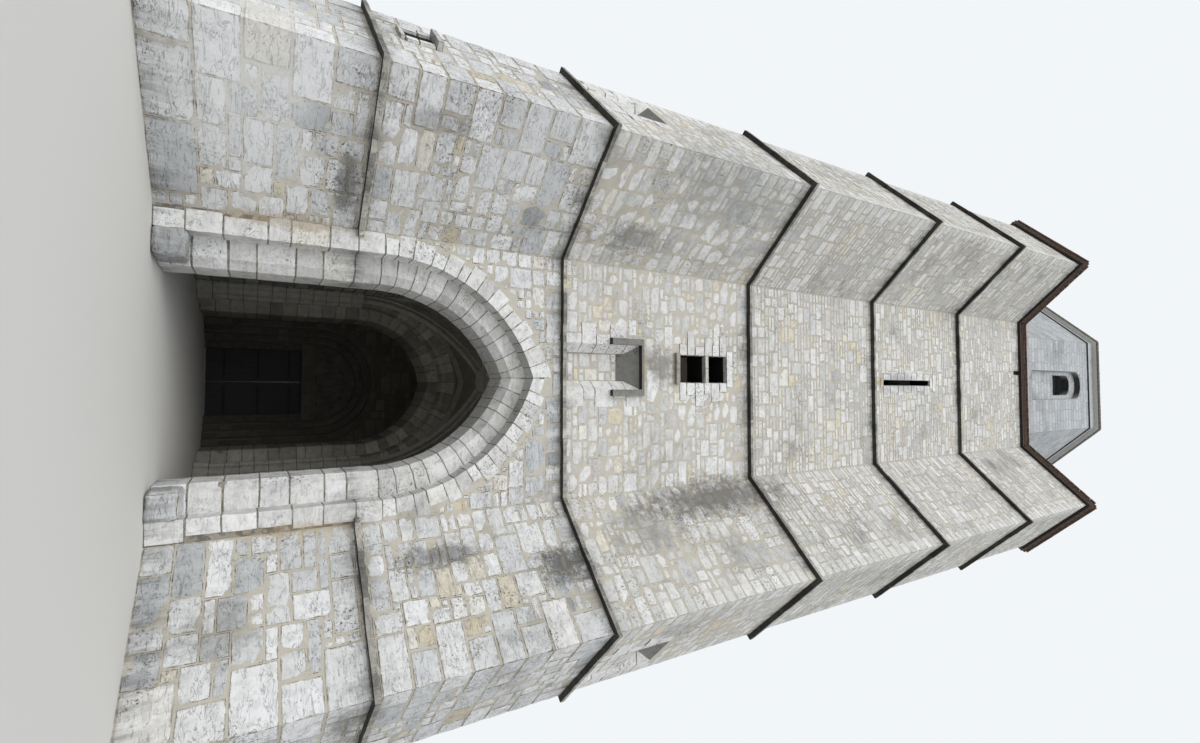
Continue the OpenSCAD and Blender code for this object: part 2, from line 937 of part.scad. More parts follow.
module stage_4_front_wall() {
    color(pale_stone)
        difference() {
            walls(stage_4_z, string_5_z, [0]);
            splayed_hole(0, slit_w, stage_4_z + slit_rise, stage_4_z + slit_rise + slit_h);
        }
}

module stage_5_walls() {
    color(pale_stone)
        difference() {
            walls(stage_5_z, eaves_z, [0:3]);
            translate([-beam_hole_off - beam_hole_w / 2, front_y - 1, eaves_z - beam_hole_h])
                cube([beam_hole_w, wall_t / 3, beam_hole_h + 1]);
        }
}

// Two courses of tiles, the upper one standing out further
module eaves_course() {
    color(tile_brown)
        difference() {
            union() {
                raised(eaves_z, eaves_top) polygon(star_outline(eaves_step_out));
                raised(eaves_z + eaves_course_h, eaves_top) polygon(star_outline(eaves_out));
            }
            translate([-room_half, -room_half, 0])
                cube([2 * room_half, 2 * room_half, far * 2]);
        }
}

belfry_half = core_half - belfry_setback;
belfry_face_half = belfry_half - belfry_corner_cut;
cornice_z = eaves_top + belfry_wall_h;
belfry_eaves_z = cornice_z + frieze_h;
bell_sill_z = eaves_top + bell_sill_rise;
bell_spring_z = bell_sill_z + bell_light_h;

// The belfry's octagon, set in by a distance
function octagon_corner(inset) = belfry_face_half - inset * (sqrt(2) - 1);

module octagon(inset) {
    p = octagon_corner(inset);
    q = belfry_half - inset;
    polygon([[p, -q], [q, -p], [q, p], [p, q], [-p, q], [-q, p], [-q, -p], [-p, -q]]);
}

// A square pyramid as two crossing gables
module pitched_square(half) {
    intersection_for (turn = [0, 90])
        rotate([90, 0, turn])
            linear_extrude(2 * half, center = true)
                polygon([[-half, 0], [half, 0], [0, half * tan(skirt_pitch)]]);
}

module skirt_roof() {
    color(tile_brown)
        difference() {
            translate([0, 0, eaves_top])
                union() {
                    pitched_square(core_half + eaves_out);
                    at_corners() pitched_square(buttress_half + eaves_out);
                }
            raised(eaves_top - 1, far * 2) octagon(0);
        }
}

module belfry_floor() {
    color("#7a6248")
        raised(eaves_top, eaves_top + belfry_floor_t) octagon(belfry_wall_t);
}

module belfry_main_wall() {
    p0 = octagon_corner(0);
    p1 = octagon_corner(belfry_wall_t);
    inner = belfry_half - belfry_wall_t;
    difference() {
        raised(eaves_top, cornice_z)
            polygon([[-p0, -belfry_half], [p0, -belfry_half], [p1, -inner], [-p1, -inner]]);
        through(-far, 0) round_opening(bell_window_w / 2, bell_spring_z, bell_sill_z);
        through(-far, bell_panel_d - belfry_half)
            round_opening(bell_panel_w / 2, bell_spring_z + bell_panel_over,
                bell_sill_z - bell_panel_h);
    }
}

module belfry_front_wall() {
    color(grey_stone) belfry_main_wall();
}

module belfry_back_wall() {
    color(grey_stone) rotate(180) belfry_main_wall();
}

module belfry_side_walls() {
    color(grey_stone)
        for (turn = [90, 270])
            rotate(turn) belfry_main_wall();
}

module belfry_corner_walls() {
    p0 = octagon_corner(0);
    p1 = octagon_corner(belfry_wall_t);
    inner = belfry_half - belfry_wall_t;
    color(grey_stone)
        for (quarter = [0:3])
            rotate(90 * quarter)
                raised(eaves_top, cornice_z)
                    polygon([[p0, -belfry_half], [belfry_half, -p0], [inner, -p1], [p1, -inner]]);
}

module belfry_cornice() {
    color(pale_stone)
        difference() {
            union() {
                raised(cornice_z, cornice_z + cornice_band_h) octagon(-cornice_out);
                raised(cornice_z, belfry_eaves_z) octagon(0);
            }
            raised(cornice_z - 1, belfry_eaves_z + 1) octagon(belfry_wall_t);
        }
}

// The belfry's roof, from its octagonal eaves up to a small flat cap
module belfry_roof() {
    color(tile_brown)
        hull() {
            raised(belfry_eaves_z, belfry_eaves_z + roof_edge_h)
                octagon(-roof_out);
            translate([0, 0, belfry_eaves_z])
                cylinder(h = roof_edge_h + roof_h, r = roof_cap_r, $fn = 8);
        }
}

color(pale_stone) buttresses(0, string_1_z);  // ground_buttresses
color(pale_stone) walls(0, string_1_z, [1, 3]);  // ground_side_walls
string_1();
color(pale_stone) buttresses(porch_z, string_2_z);  // porch_buttresses
color(pale_stone) walls(porch_z, string_2_z, [1, 3]);  // porch_side_walls
front_arch_jambs();
guard_stones();
front_arch_outer_order();
front_arch_inner_order();
front_spandrel();
vault_shafts();
vault_ribs();
vault_keystone();
vault_web();
rear_arch_piers();
rear_arch_outer_order();
rear_arch_inner_order();
rear_spandrel();
portal_wall();
portal_outer_order();
portal_middle_order();
portal_inner_order();
portal_jambs();
portal_lintel();
portal_tympanum();
door_pintles();
left_door_leaf();
right_door_leaf();
string_course(string_2_z);  // string_2
upper_floor();
stage_2_buttresses();
stage_2_front_wall();
color(pale_stone) walls(stage_2_z, string_3_z, [1:3]);  // stage_2_other_walls
window_sill();
niche_hood();
string_course(string_3_z);  // string_3
color(pale_stone) buttresses(stage_3_z, string_4_z);  // stage_3_buttresses
color(pale_stone) walls(stage_3_z, string_4_z, [0:3]);  // stage_3_walls
string_course(string_4_z);  // string_4
color(pale_stone) buttresses(stage_4_z, string_5_z);  // stage_4_buttresses
stage_4_front_wall();
color(pale_stone) walls(stage_4_z, string_5_z, [1:3]);  // stage_4_other_walls
string_course(string_5_z);  // string_5
color(pale_stone) buttresses(stage_5_z, eaves_z);  // stage_5_buttresses
stage_5_walls();
eaves_course();
skirt_roof();
belfry_floor();
belfry_front_wall();
belfry_back_wall();
belfry_side_walls();
belfry_corner_walls();
belfry_cornice();
belfry_roof();
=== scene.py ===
# %% [markdown]
# A fortified porch tower in limestone
#
# The tower is one great pile of masonry: a square core with a diagonal buttress on each corner, five
# stages of coursed stone between thin string courses, a tiled skirt roof and an octagonal belfry. The
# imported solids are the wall's body. In this lesson they play the part of the lime mortar, and every
# stone, slab, voussoir and tile that the eye can pick out is laid on them as real geometry.

# %% Load the frame
import math
import random
from collections import namedtuple

import bmesh
import bpy
import numpy as np
from mathutils import Matrix, Vector
from mathutils import noise as field
from mathutils.bvhtree import BVHTree


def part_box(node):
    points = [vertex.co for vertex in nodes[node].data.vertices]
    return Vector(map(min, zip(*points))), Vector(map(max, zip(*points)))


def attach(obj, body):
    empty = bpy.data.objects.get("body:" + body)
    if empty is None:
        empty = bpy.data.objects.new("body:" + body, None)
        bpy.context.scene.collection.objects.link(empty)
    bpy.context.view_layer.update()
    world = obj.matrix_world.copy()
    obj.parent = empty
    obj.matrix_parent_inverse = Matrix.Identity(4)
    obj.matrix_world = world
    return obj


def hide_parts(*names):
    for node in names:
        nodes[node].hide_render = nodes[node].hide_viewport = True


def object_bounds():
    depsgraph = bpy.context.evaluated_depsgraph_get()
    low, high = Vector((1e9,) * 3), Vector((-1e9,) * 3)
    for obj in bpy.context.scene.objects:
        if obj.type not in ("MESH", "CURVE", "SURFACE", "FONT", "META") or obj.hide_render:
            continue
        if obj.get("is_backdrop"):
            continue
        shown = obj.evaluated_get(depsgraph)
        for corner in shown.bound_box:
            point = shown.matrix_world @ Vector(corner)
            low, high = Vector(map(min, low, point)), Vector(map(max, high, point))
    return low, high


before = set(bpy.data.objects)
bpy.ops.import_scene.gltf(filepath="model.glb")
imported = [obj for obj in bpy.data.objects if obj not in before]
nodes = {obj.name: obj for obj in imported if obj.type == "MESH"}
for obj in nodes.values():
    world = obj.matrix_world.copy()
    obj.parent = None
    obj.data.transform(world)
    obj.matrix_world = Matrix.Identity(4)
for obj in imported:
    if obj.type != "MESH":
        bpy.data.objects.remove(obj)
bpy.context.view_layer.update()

# %% [markdown]
# The tower's own measures
#
# Everything is placed from a few measures of the frame, so that a stone course ends where its wall
# does. Boxes of the nodes give most of them. The rest are the mason's own sizes, in metres.

# %% Measures
ROOT_HALF = math.sqrt(0.5)
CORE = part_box("stage_3_walls")[1].x
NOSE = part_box("stage_3_buttresses")[1].x
OUT = NOSE - CORE
FOOT = CORE - OUT
FRONT = -CORE
STRING_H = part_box("string_3")[1].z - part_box("string_3")[0].z
STRING_OUT = (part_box("string_3")[1].x - NOSE) * ROOT_HALF
STRING_FACE = 0.06
strings = [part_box(f"string_{i}")[0].z for i in range(1, 6)]
EAVES, EAVES_TOP = (corner.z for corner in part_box("eaves_course"))
PARTY_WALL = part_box("portal_wall")[1].y
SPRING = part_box("front_arch_outer_order")[0].z
OUTER_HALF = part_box("front_arch_outer_order")[1].x
RECESS_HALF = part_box("front_arch_inner_order")[1].x
ARCH_HALF = RECESS_HALF - 0.42
ARCH_CENTRE = 0.8
INNER_Y, INNER_BACK = (corner.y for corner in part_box("front_arch_inner_order"))
CHAMFER = 0.13
print("strings", [round(z, 2) for z in strings], "eaves", round(EAVES, 2))

# %% [markdown]
# The camera
#
# The tower was seen from the pavement, thirteen metres in front of the core and at eye height, with a
# very wide view tilted up the wall. The frame lies on its side: its long edge runs up the tower. So the
# camera's own right is the tower's up. Three angles, a place and a lens say the whole view.

# %% Camera
EYE = Vector((0.222, -13.48, 1.29))
PITCH = 0.5315
YAW = 0.0391
ROLL = 0.0210
LONG_SIDE_PX = 1200
FOCAL_PX = 544.8
SENSOR = 36.0
SHIFT_UP_PX = 21.4

camera = bpy.data.objects.new("camera", bpy.data.cameras.new("camera"))
bpy.context.scene.collection.objects.link(camera)
bpy.context.scene.camera = camera
ahead = Vector((-math.sin(YAW) * math.cos(PITCH), math.cos(YAW) * math.cos(PITCH), math.sin(PITCH)))
level = Vector((math.cos(YAW), math.sin(YAW), 0))
upward = level.cross(ahead)
right = level * math.cos(ROLL) + upward * math.sin(ROLL)
up = upward * math.cos(ROLL) - level * math.sin(ROLL)
camera.matrix_world = Matrix.Translation(EYE) @ Matrix((up, -right, -ahead)).transposed().to_4x4()
camera.data.sensor_width = SENSOR
camera.data.lens = FOCAL_PX / LONG_SIDE_PX * SENSOR
camera.data.shift_x = SHIFT_UP_PX / LONG_SIDE_PX
camera.data.clip_end = 500
print("lens", round(camera.data.lens, 2), "mm")

# %% [markdown]
# Small helpers for nodes
#
# Colours are written as the sRGB hex values a painter would pick, and one function turns them into the
# linear values that the renderer adds up. Another adds a node with its settings, values and links, so
# that a material reads from top to bottom as a list of what happens to the light.


# %% Colour and node helpers
def colour(value):
    """Linear colour from an sRGB hex value such as "#cfc8ba", or a plain grey from a number."""
    if not isinstance(value, str):
        return [value, value, value, 1.0]
    channels = [int(value[i:i + 2], 16) / 255 for i in (1, 3, 5)]
    return [c / 12.92 if c <= 0.04045 else ((c + 0.055) / 1.055) ** 2.4 for c in channels] + [1.0]


def add(tree, kind, inputs=(), stops=(), **settings):
    """Adds one node, or fills one that is there. The inputs are a list in order of the sockets in use, or
    a dict by name. A node or socket among them is linked. Stops are the places and colours of a ramp."""
    node = tree.nodes.new(kind) if isinstance(kind, str) else kind
    for name, value in settings.items():
        setattr(node, name, value)
    if not isinstance(inputs, dict):
        inputs = dict(zip([i for i, socket in enumerate(node.inputs) if socket.enabled], inputs))
    for key, value in inputs.items():
        if isinstance(value, bpy.types.Node):
            value = next(socket for socket in value.outputs if socket.enabled)
        if isinstance(value, bpy.types.NodeSocket):
            tree.links.new(value, node.inputs[key])
        else:
            node.inputs[key].default_value = colour(value) if str(value).startswith("#") else value
    if stops:
        elements = node.color_ramp.elements
        elements.remove(elements[-1])
        elements[0].position, elements[0].color = stops[0][0], colour(stops[0][1])
        for place, value in stops[1:]:
            elements.new(place).color = colour(value)
    return node


def new_material(name):
    """A material, its tree and its Principled shader."""
    material = bpy.data.materials.new(name)
    material.use_nodes = True
    return material, material.node_tree, material.node_tree.nodes["Principled BSDF"]


def new_group(name, kind, inputs, output):
    """A group of nodes with named inputs, and the sockets of its input node. It gives a colour in a
    material and a mesh in Geometry Nodes."""
    group = bpy.data.node_groups.new(name, kind)
    for title, sort in inputs.items():
        group.interface.new_socket(title, in_out="INPUT", socket_type="NodeSocket" + sort)
    given = "Color" if kind == "ShaderNodeTree" else "Geometry"
    group.interface.new_socket(output, in_out="OUTPUT", socket_type="NodeSocket" + given)
    return group, add(group, "NodeGroupInput").outputs


# %% [markdown]
# Light and floor
#
# The day is overcast: the whole sky lights the stone, a little more from above and in front, and the
# porch stays dark because it sees little sky. So the world gives most of the light and one very soft
# sun the rest, with a weak low one that reaches into the porch. What the camera sees behind the tower
# is plain and pale, and the floor is the same.

# %% World, sun and floor
SKY_LIGHT = 0.72
SUNS = (("soft_sun", 1.32, 60, 50, -31), ("low_fill", 0.28, 40, 78, -10))  # strength and three angles
FLOOR_HALF = 150.0
world = bpy.data.worlds.new("pale_sky")
bpy.context.scene.world = world
world.use_nodes = True
tree = world.node_tree
tree.nodes.clear()
rays = add(tree, "ShaderNodeLightPath").outputs
seen = rays["Is Camera Ray"]
for ray in ("Is Glossy Ray", "Is Transmission Ray"):
    seen = add(tree, "ShaderNodeMath", [seen, rays[ray]], operation="MAXIMUM")
lighting = add(tree, "ShaderNodeBackground", ["#eef3fa", SKY_LIGHT])
backdrop = add(tree, "ShaderNodeBackground", ["#f2f6f9", 1.0])
add(tree, "ShaderNodeOutputWorld", [add(tree, "ShaderNodeMixShader", [seen, lighting, backdrop])])

for name, strength, spread, steep, aside in SUNS:
    lamp = bpy.data.objects.new(name, bpy.data.lights.new(name, "SUN"))
    bpy.context.scene.collection.objects.link(lamp)
    lamp.data.energy = strength
    lamp.data.angle = math.radians(spread)
    lamp.rotation_euler = (math.radians(steep), 0, math.radians(aside))

bpy.context.scene.view_settings.view_transform = "Standard"

floor_material, tree, shader = new_material("pale_floor")
add(tree, shader, {"Base Color": "#d9d7d2", "Roughness": 0.9})
floor_mesh = bpy.data.meshes.new("floor")
floor_mesh.from_pydata([(x * FLOOR_HALF, y * FLOOR_HALF, 0) for x, y in ((-1, -1), (1, -1), (1, 1), (-1, 1))],
                       [], [(0, 1, 2, 3)])
floor_mesh.materials.append(floor_material)
floor = bpy.data.objects.new("floor", floor_mesh)
bpy.context.scene.collection.objects.link(floor)
floor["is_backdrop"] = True

# %% [markdown]
# Weather and painted shade
#
# Rain runs off each string course and drips from its edge, so the wall right under it stays dry and
# gathers soot, in streaks that thin out downwards. Each projecting slab has the same band of black
# under it, at its own height. The splash at the ground greens and darkens the foot. Faces that look
# down are painted dark, partly as soot and partly as painted shade. Two pale patches are painted light
# on the ground stage's left side. Under a roof the stone gathers dust and is painted darker as shade,
# the rooms above are painted near black as shade, and the deepest place, before the doors, hardly lit,
# is painted dark. All finishes share this one group, so that mortar and stone darken together.

# %% Weathering and painted shade group
SOOT_REACH = 0.42
TOP_OF_RAMP = 40.0
# Inside the tower the porch is painted darker as dust and shade, and the rooms over it near black as painted shade.
ROOM_EDGE = (2.95, 2.85)  # from the axis: outside the rooms, and inside them
CUT_CORNERS = 0.53  # keeps the dark of the rooms off the belfry's slanted sides
ROOM_DARK = (6.4, 6.7)  # heights between the dusty porch and the dark rooms over it
UNLIT_HALF, UNLIT_Y, UNLIT_DEEP, UNLIT_TOP = 2.17, 4.0, 1.15, strings[1] - 0.5  # the place before the doors
CORNER_X = FOOT + 0.35
STAINS_AND_PAINTED_LIGHT = [  # middle, reach, strength and colour
    ((CORNER_X - 0.05, FRONT - 0.25, strings[2] - 1.2), (0.75, 0.8, 3.6), 0.72, "#514f4b"),
    ((CORNER_X + 0.3, FRONT - 0.6, strings[1] + 1.6), (0.9, 0.9, 1.5), 0.4, "#76746f"),
    ((-CORNER_X - 0.2, FRONT - 0.4, strings[1] + 1.3), (0.5, 0.6, 1.4), 0.55, "#5f5e5b"),
    ((-CORNER_X - 1.3, FRONT - 1.3, strings[1] + 3.2), (1.5, 1.5, 2.8), 0.38, "#7d8082"),
    ((FOOT + 0.9, FRONT - 0.9, strings[1] - 0.4), (0.55, 0.7, 0.9), 0.8, "#45443f"),
    ((FOOT + 0.55, FRONT - 0.55, strings[0] + 1.3), (0.35, 0.4, 1.2), 0.6, "#4d4b46"),
    ((-0.25, FRONT, strings[1] + 2.45), (0.62, 0.3, 0.75), 0.6, "#77736c"),
    ((-0.25, FRONT, strings[1] + 2.02), (0.42, 0.3, 0.07), 0.5, "#b39b5e"),
    ((0.0, FRONT, strings[3] + 1.5), (0.55, 0.3, 1.9), 0.5, "#8c8d8d"),
    ((0.0, FRONT, strings[3] + 0.35), (0.22, 0.3, 0.3), 0.7, "#bfa265"),
    ((-NOSE * 0.62, -NOSE * 0.93, strings[0] + 0.9), (0.35, 0.35, 0.9), 0.45, "#706f6c"),
    ((-FOOT - 0.5, FRONT - 0.5, strings[0] - 0.25), (0.9, 0.9, 0.3), 0.7, "#4f4c47"),
    ((CORE * 1.1, -NOSE * 0.9, strings[0] - 0.3), (1.1, 0.9, 0.35), 0.55, "#5a5751"),
    ((-OUTER_HALF - 0.1, FRONT, 1.6), (0.22, 0.3, 1.5), 0.5, "#a08a66"),
    ((OUTER_HALF + 0.1, FRONT, 1.9), (0.2, 0.3, 1.2), 0.4, "#a8926c"),
    ((CORE - 0.9, -NOSE + 0.9, 0.9), (0.7, 0.7, 0.7), 0.4, "#77736b"),
    # These two pale patches are painted light: they lighten the ground stage's left side, which the sun leaves
    # darker.
    ((-CORE + 0.2, -NOSE + 0.8, 1.2), (2.6, 2.6, 1.5), 0.5, "#fbfbfa"),
    ((-CORE + 0.4, -NOSE + 1.2, strings[0] + 2.4), (1.6, 1.6, 1.6), 0.22, "#fbfbfa"),
]
weather_and_shade, given = new_group("weathering_and_painted_shade", "ShaderNodeTree", {"Color": "Color", "Crust": "Float"}, "Color")
place = add(weather_and_shade, "ShaderNodeTexCoord").outputs["Object"]
x, y, z = add(weather_and_shade, "ShaderNodeSeparateXYZ", [place]).outputs
height = add(weather_and_shade, "ShaderNodeMath", [z, TOP_OF_RAMP], operation="DIVIDE")
stops = [(0.0, 0.8), (0.25 / TOP_OF_RAMP, 0.4), (0.8 / TOP_OF_RAMP, 0.0)]
for level in strings + [EAVES]:
    stops += [((level + rise) / TOP_OF_RAMP, black)
              for rise, black in ((-SOOT_REACH, 0.0), (-0.12, 0.55), (-0.01, 1.0), (0.25, 0.0))]
bands = add(weather_and_shade, "ShaderNodeValToRGB", [height], stops)
drips = add(weather_and_shade, "ShaderNodeVectorMath", [place, (2.6, 2.6, 0.3)], operation="MULTIPLY")
streaks = add(weather_and_shade, "ShaderNodeTexNoise", {"Vector": drips, "Scale": 1.0, "Detail": 6.0, "Roughness": 0.75})
sharp = add(weather_and_shade, "ShaderNodeValToRGB", [streaks], [(0.44, 0.05), (0.60, 1.0)])
soot = add(weather_and_shade, "ShaderNodeMath", [bands, sharp], operation="MULTIPLY")
blotch = add(weather_and_shade, "ShaderNodeTexNoise", {"Vector": place, "Scale": 0.5, "Detail": 9.0, "Roughness": 0.74})
dark = add(weather_and_shade, "ShaderNodeValToRGB", [blotch], [(0.53, 0.0), (0.64, 0.35), (0.78, 0.7)])
total = add(weather_and_shade, "ShaderNodeMath", [soot, dark], operation="ADD", use_clamp=True)
part = add(weather_and_shade, "ShaderNodeMath", [total, 0.82], operation="MULTIPLY")
shade = add(weather_and_shade, "ShaderNodeMix", [part, given["Color"], "#4e4d4a"], data_type="RGBA")
rag = add(weather_and_shade, "ShaderNodeTexNoise", {"Vector": place, "Scale": 3.5, "Detail": 10.0, "Roughness": 0.88})
for middle, reach, strength, tint in STAINS_AND_PAINTED_LIGHT:
    away = add(weather_and_shade, "ShaderNodeVectorMath", [place, middle], operation="SUBTRACT")
    scaled = add(weather_and_shade, "ShaderNodeVectorMath", [away, [1 / r for r in reach]], operation="MULTIPLY")
    far = add(weather_and_shade, "ShaderNodeVectorMath", [scaled], operation="LENGTH")
    ragged = add(weather_and_shade, "ShaderNodeMath", [rag, 2.4, far], operation="MULTIPLY_ADD")
    mask = add(weather_and_shade, "ShaderNodeMapRange", [ragged, 1.95, 1.5, 0.0, strength])
    shade = add(weather_and_shade, "ShaderNodeMix", [mask, shade, tint], data_type="RGBA")

# Faces that look down are painted black, partly as soot and partly as painted shade, as much as the finish says.
facing = add(weather_and_shade, "ShaderNodeNewGeometry").outputs["Normal"]
lean = add(weather_and_shade, "ShaderNodeSeparateXYZ", [facing]).outputs["Z"]
under = add(weather_and_shade, "ShaderNodeMapRange", [lean, -0.25, -0.85, 0.0, 0.9])
black = add(weather_and_shade, "ShaderNodeMath", [under, given["Crust"]], operation="MULTIPLY")
soot_and_under_shade = add(weather_and_shade, "ShaderNodeMix", [black, shade, "#1d1c1b"], data_type="RGBA")

# Inside the rooms: no further from the axis than their walls, along the sides and across the corners. There the
# porch is painted darker, as dust and painted shade, and the rooms over it near black, as painted shade.
across = add(weather_and_shade, "ShaderNodeMath", [x], operation="ABSOLUTE")
deep = add(weather_and_shade, "ShaderNodeMath", [y], operation="ABSOLUTE")
square = add(weather_and_shade, "ShaderNodeMath", [across, deep], operation="MAXIMUM")
both = add(weather_and_shade, "ShaderNodeMath", [across, deep], operation="ADD")
slanted = add(weather_and_shade, "ShaderNodeMath", [both, CUT_CORNERS], operation="MULTIPLY")
ring = add(weather_and_shade, "ShaderNodeMath", [square, slanted], operation="MAXIMUM")
indoors = add(weather_and_shade, "ShaderNodeMapRange", [ring, *ROOM_EDGE, 0.0, 0.95])
above = add(weather_and_shade, "ShaderNodeMapRange", [z, *ROOM_DARK])
gloom = add(weather_and_shade, "ShaderNodeMix", [above, "#837e73", "#12110f"], data_type="RGBA")
dust_and_shade = add(weather_and_shade, "ShaderNodeMix", [indoors, soot_and_under_shade, gloom], data_type="RGBA")

# The place before the doors is a box: near the axis, in the recess, and below the second string.
unlit = add(weather_and_shade, "ShaderNodeMath", [across, UNLIT_HALF], operation="LESS_THAN")
for value, size, test in ((y, [UNLIT_Y, UNLIT_DEEP], "COMPARE"), (z, [UNLIT_TOP], "LESS_THAN")):
    within = add(weather_and_shade, "ShaderNodeMath", [value, *size], operation=test)
    unlit = add(weather_and_shade, "ShaderNodeMath", [unlit, within], operation="MULTIPLY")
add(weather_and_shade, "NodeGroupOutput", [add(weather_and_shade, "ShaderNodeMix", [unlit, dust_and_shade, "#4c4942"], data_type="RGBA")])

# %% [markdown]
# Limestone and mortar
#
# The stone is a hard, pale Jurassic limestone, roughly squared with a pick. Its faces are matt, pitted
# and cracked along the bedding, and every block has its own tint, from blue-grey through ivory to a
# warm ochre. The number "tone" that each stone carries picks that tint from a ramp. The mason smeared
# the joints over the stones' edges, so towards its edge a stone fades into mortar along a ragged line.

# %% Stone material
MORTAR = "#cdc5b4"
MORTAR_PALE = "#dcd5c8"
PITS_PER_M = 55.0
BEDDING = (3.0, 3.0, 13.0)  # noise cells per metre: the beds of the stone lie flat
DRUM_JOINT = 0.012


def stone_material(name, palette, mortar=MORTAR, mortar_pale=MORTAR_PALE, smear=0.022, cracks=0.35, lichen=0.6,
                   under_soot_and_shade=0.0, joints=0.75, drum=0.0, outdoors=True):
    """Matt limestone: tint by tone, mottling, bedding cracks, pits, smeared mortar, lichen, soot, stains,
    painted shade and painted light. smear is how far mortar laps over a stone, joints how dark open joints
    are painted as shade, and drum the height of the drawn courses of a shaft."""
    material, tree, shader = new_material(name)
    place = add(tree, "ShaderNodeTexCoord").outputs["Object"]
    tone = add(tree, "ShaderNodeAttribute", attribute_name="tone").outputs["Fac"]
    tint = add(tree, "ShaderNodeValToRGB", [tone], palette)
    mottle = add(tree, "ShaderNodeTexNoise", {"Vector": place, "Scale": 7.0, "Detail": 6.0, "Roughness": 0.65})
    mottling = add(tree, "ShaderNodeValToRGB", [mottle], [(0.30, 0.68), (0.55, 1.0), (0.75, 1.06)])
    faced = add(tree, "ShaderNodeMix", [0.8, tint, mottling], data_type="RGBA", blend_type="MULTIPLY")

    flat = add(tree, "ShaderNodeVectorMath", [place, BEDDING], operation="MULTIPLY")
    bed = add(tree, "ShaderNodeTexNoise", {"Vector": flat, "Scale": 1.0, "Detail": 4.0, "Distortion": 1.2})
    bed_line = add(tree, "ShaderNodeValToRGB", [bed], [(0.452, 0.0), (0.463, 1.0), (0.466, 1.0), (0.478, 0.0)])
    crack = add(tree, "ShaderNodeMath", [bed_line, cracks], operation="MULTIPLY")
    faced = add(tree, "ShaderNodeMix", [crack, faced, "#57534c"], data_type="RGBA")
    pits = add(tree, "ShaderNodeTexVoronoi", {"Vector": place, "Scale": PITS_PER_M}, feature="F1")
    pit_mask = add(tree, "ShaderNodeValToRGB", [pits], [(0.10, 1.0), (0.24, 0.0)])
    pitted = add(tree, "ShaderNodeValToRGB", [mottle], [(0.52, 0.0), (0.62, 0.7)])
    pit = add(tree, "ShaderNodeMath", [pit_mask, pitted], operation="MULTIPLY")
    faced = add(tree, "ShaderNodeMix", [pit, faced, "#57524a"], data_type="RGBA")

    ragged = add(tree, "ShaderNodeTexNoise", {"Vector": place, "Scale": 9.0, "Detail": 5.0, "Roughness": 0.65})
    wobble = add(tree, "ShaderNodeMath", [ragged, 0.5], operation="SUBTRACT")
    if smear:
        # How far a point is from the nearest edge of its stone, in metres.
        corner = add(tree, "ShaderNodeAttribute", attribute_name="corner").outputs["Vector"]
        size = add(tree, "ShaderNodeAttribute", attribute_name="size").outputs["Vector"]
        from_middle = add(tree, "ShaderNodeVectorMath", [corner], operation="ABSOLUTE")
        to_edge = add(tree, "ShaderNodeVectorMath", [(0.5, 0.5, 0.5), from_middle], operation="SUBTRACT")
        metres = add(tree, "ShaderNodeVectorMath", [to_edge, size], operation="MULTIPLY")
        x, y, z = add(tree, "ShaderNodeSeparateXYZ", [metres]).outputs
        less = add(tree, "ShaderNodeMath", [x, y], operation="MINIMUM")
        more = add(tree, "ShaderNodeMath", [x, y], operation="MAXIMUM")
        more = add(tree, "ShaderNodeMath", [more, z], operation="MINIMUM")
        nearest = add(tree, "ShaderNodeMath", [less, more], operation="MAXIMUM")
        edge = add(tree, "ShaderNodeMath", [wobble, 6.0 * smear, nearest], operation="MULTIPLY_ADD")
        lapped = add(tree, "ShaderNodeMapRange", [edge, 0.5 * smear, smear, 1.0, 0.0])
        mortar_tint = add(tree, "ShaderNodeMix", [mottle, mortar, mortar_pale], data_type="RGBA")
        faced = add(tree, "ShaderNodeMix", [lapped, faced, mortar_tint], data_type="RGBA")
        # Here and there the joint has weathered open, and its dark is painted shade in the gap.
        rim = add(tree, "ShaderNodeMath", [wobble, 0.030, nearest], operation="MULTIPLY_ADD")
        open_joint_shade = add(tree, "ShaderNodeMapRange", [rim, 0.007, 0.004, 0.0, joints])
        where = add(tree, "ShaderNodeValToRGB", [mottle], [(0.46, 0.0), (0.54, 1.0)])
        open_joint_shade = add(tree, "ShaderNodeMath", [open_joint_shade, where], operation="MULTIPLY")
        faced = add(tree, "ShaderNodeMix", [open_joint_shade, faced, "#45413a"], data_type="RGBA")
    if drum:
        # Level joints on the upright part of a shaft or rib.
        level = add(tree, "ShaderNodeSeparateXYZ", [place]).outputs["Z"]
        wave = add(tree, "ShaderNodeMath", [wobble, 0.03, level], operation="MULTIPLY_ADD")
        part = add(tree, "ShaderNodeMath", [wave, 1 / drum], operation="MULTIPLY")
        part = add(tree, "ShaderNodeMath", [part], operation="FRACT")
        bed_joint = add(tree, "ShaderNodeMath", [part, DRUM_JOINT / drum], operation="LESS_THAN")
        upright = add(tree, "ShaderNodeMapRange", [level, SPRING, SPRING + 1.0, 0.9, 0.0])
        bed_joint = add(tree, "ShaderNodeMath", [bed_joint, upright], operation="MULTIPLY")
        faced = add(tree, "ShaderNodeMix", [bed_joint, faced, "#34312c"], data_type="RGBA")

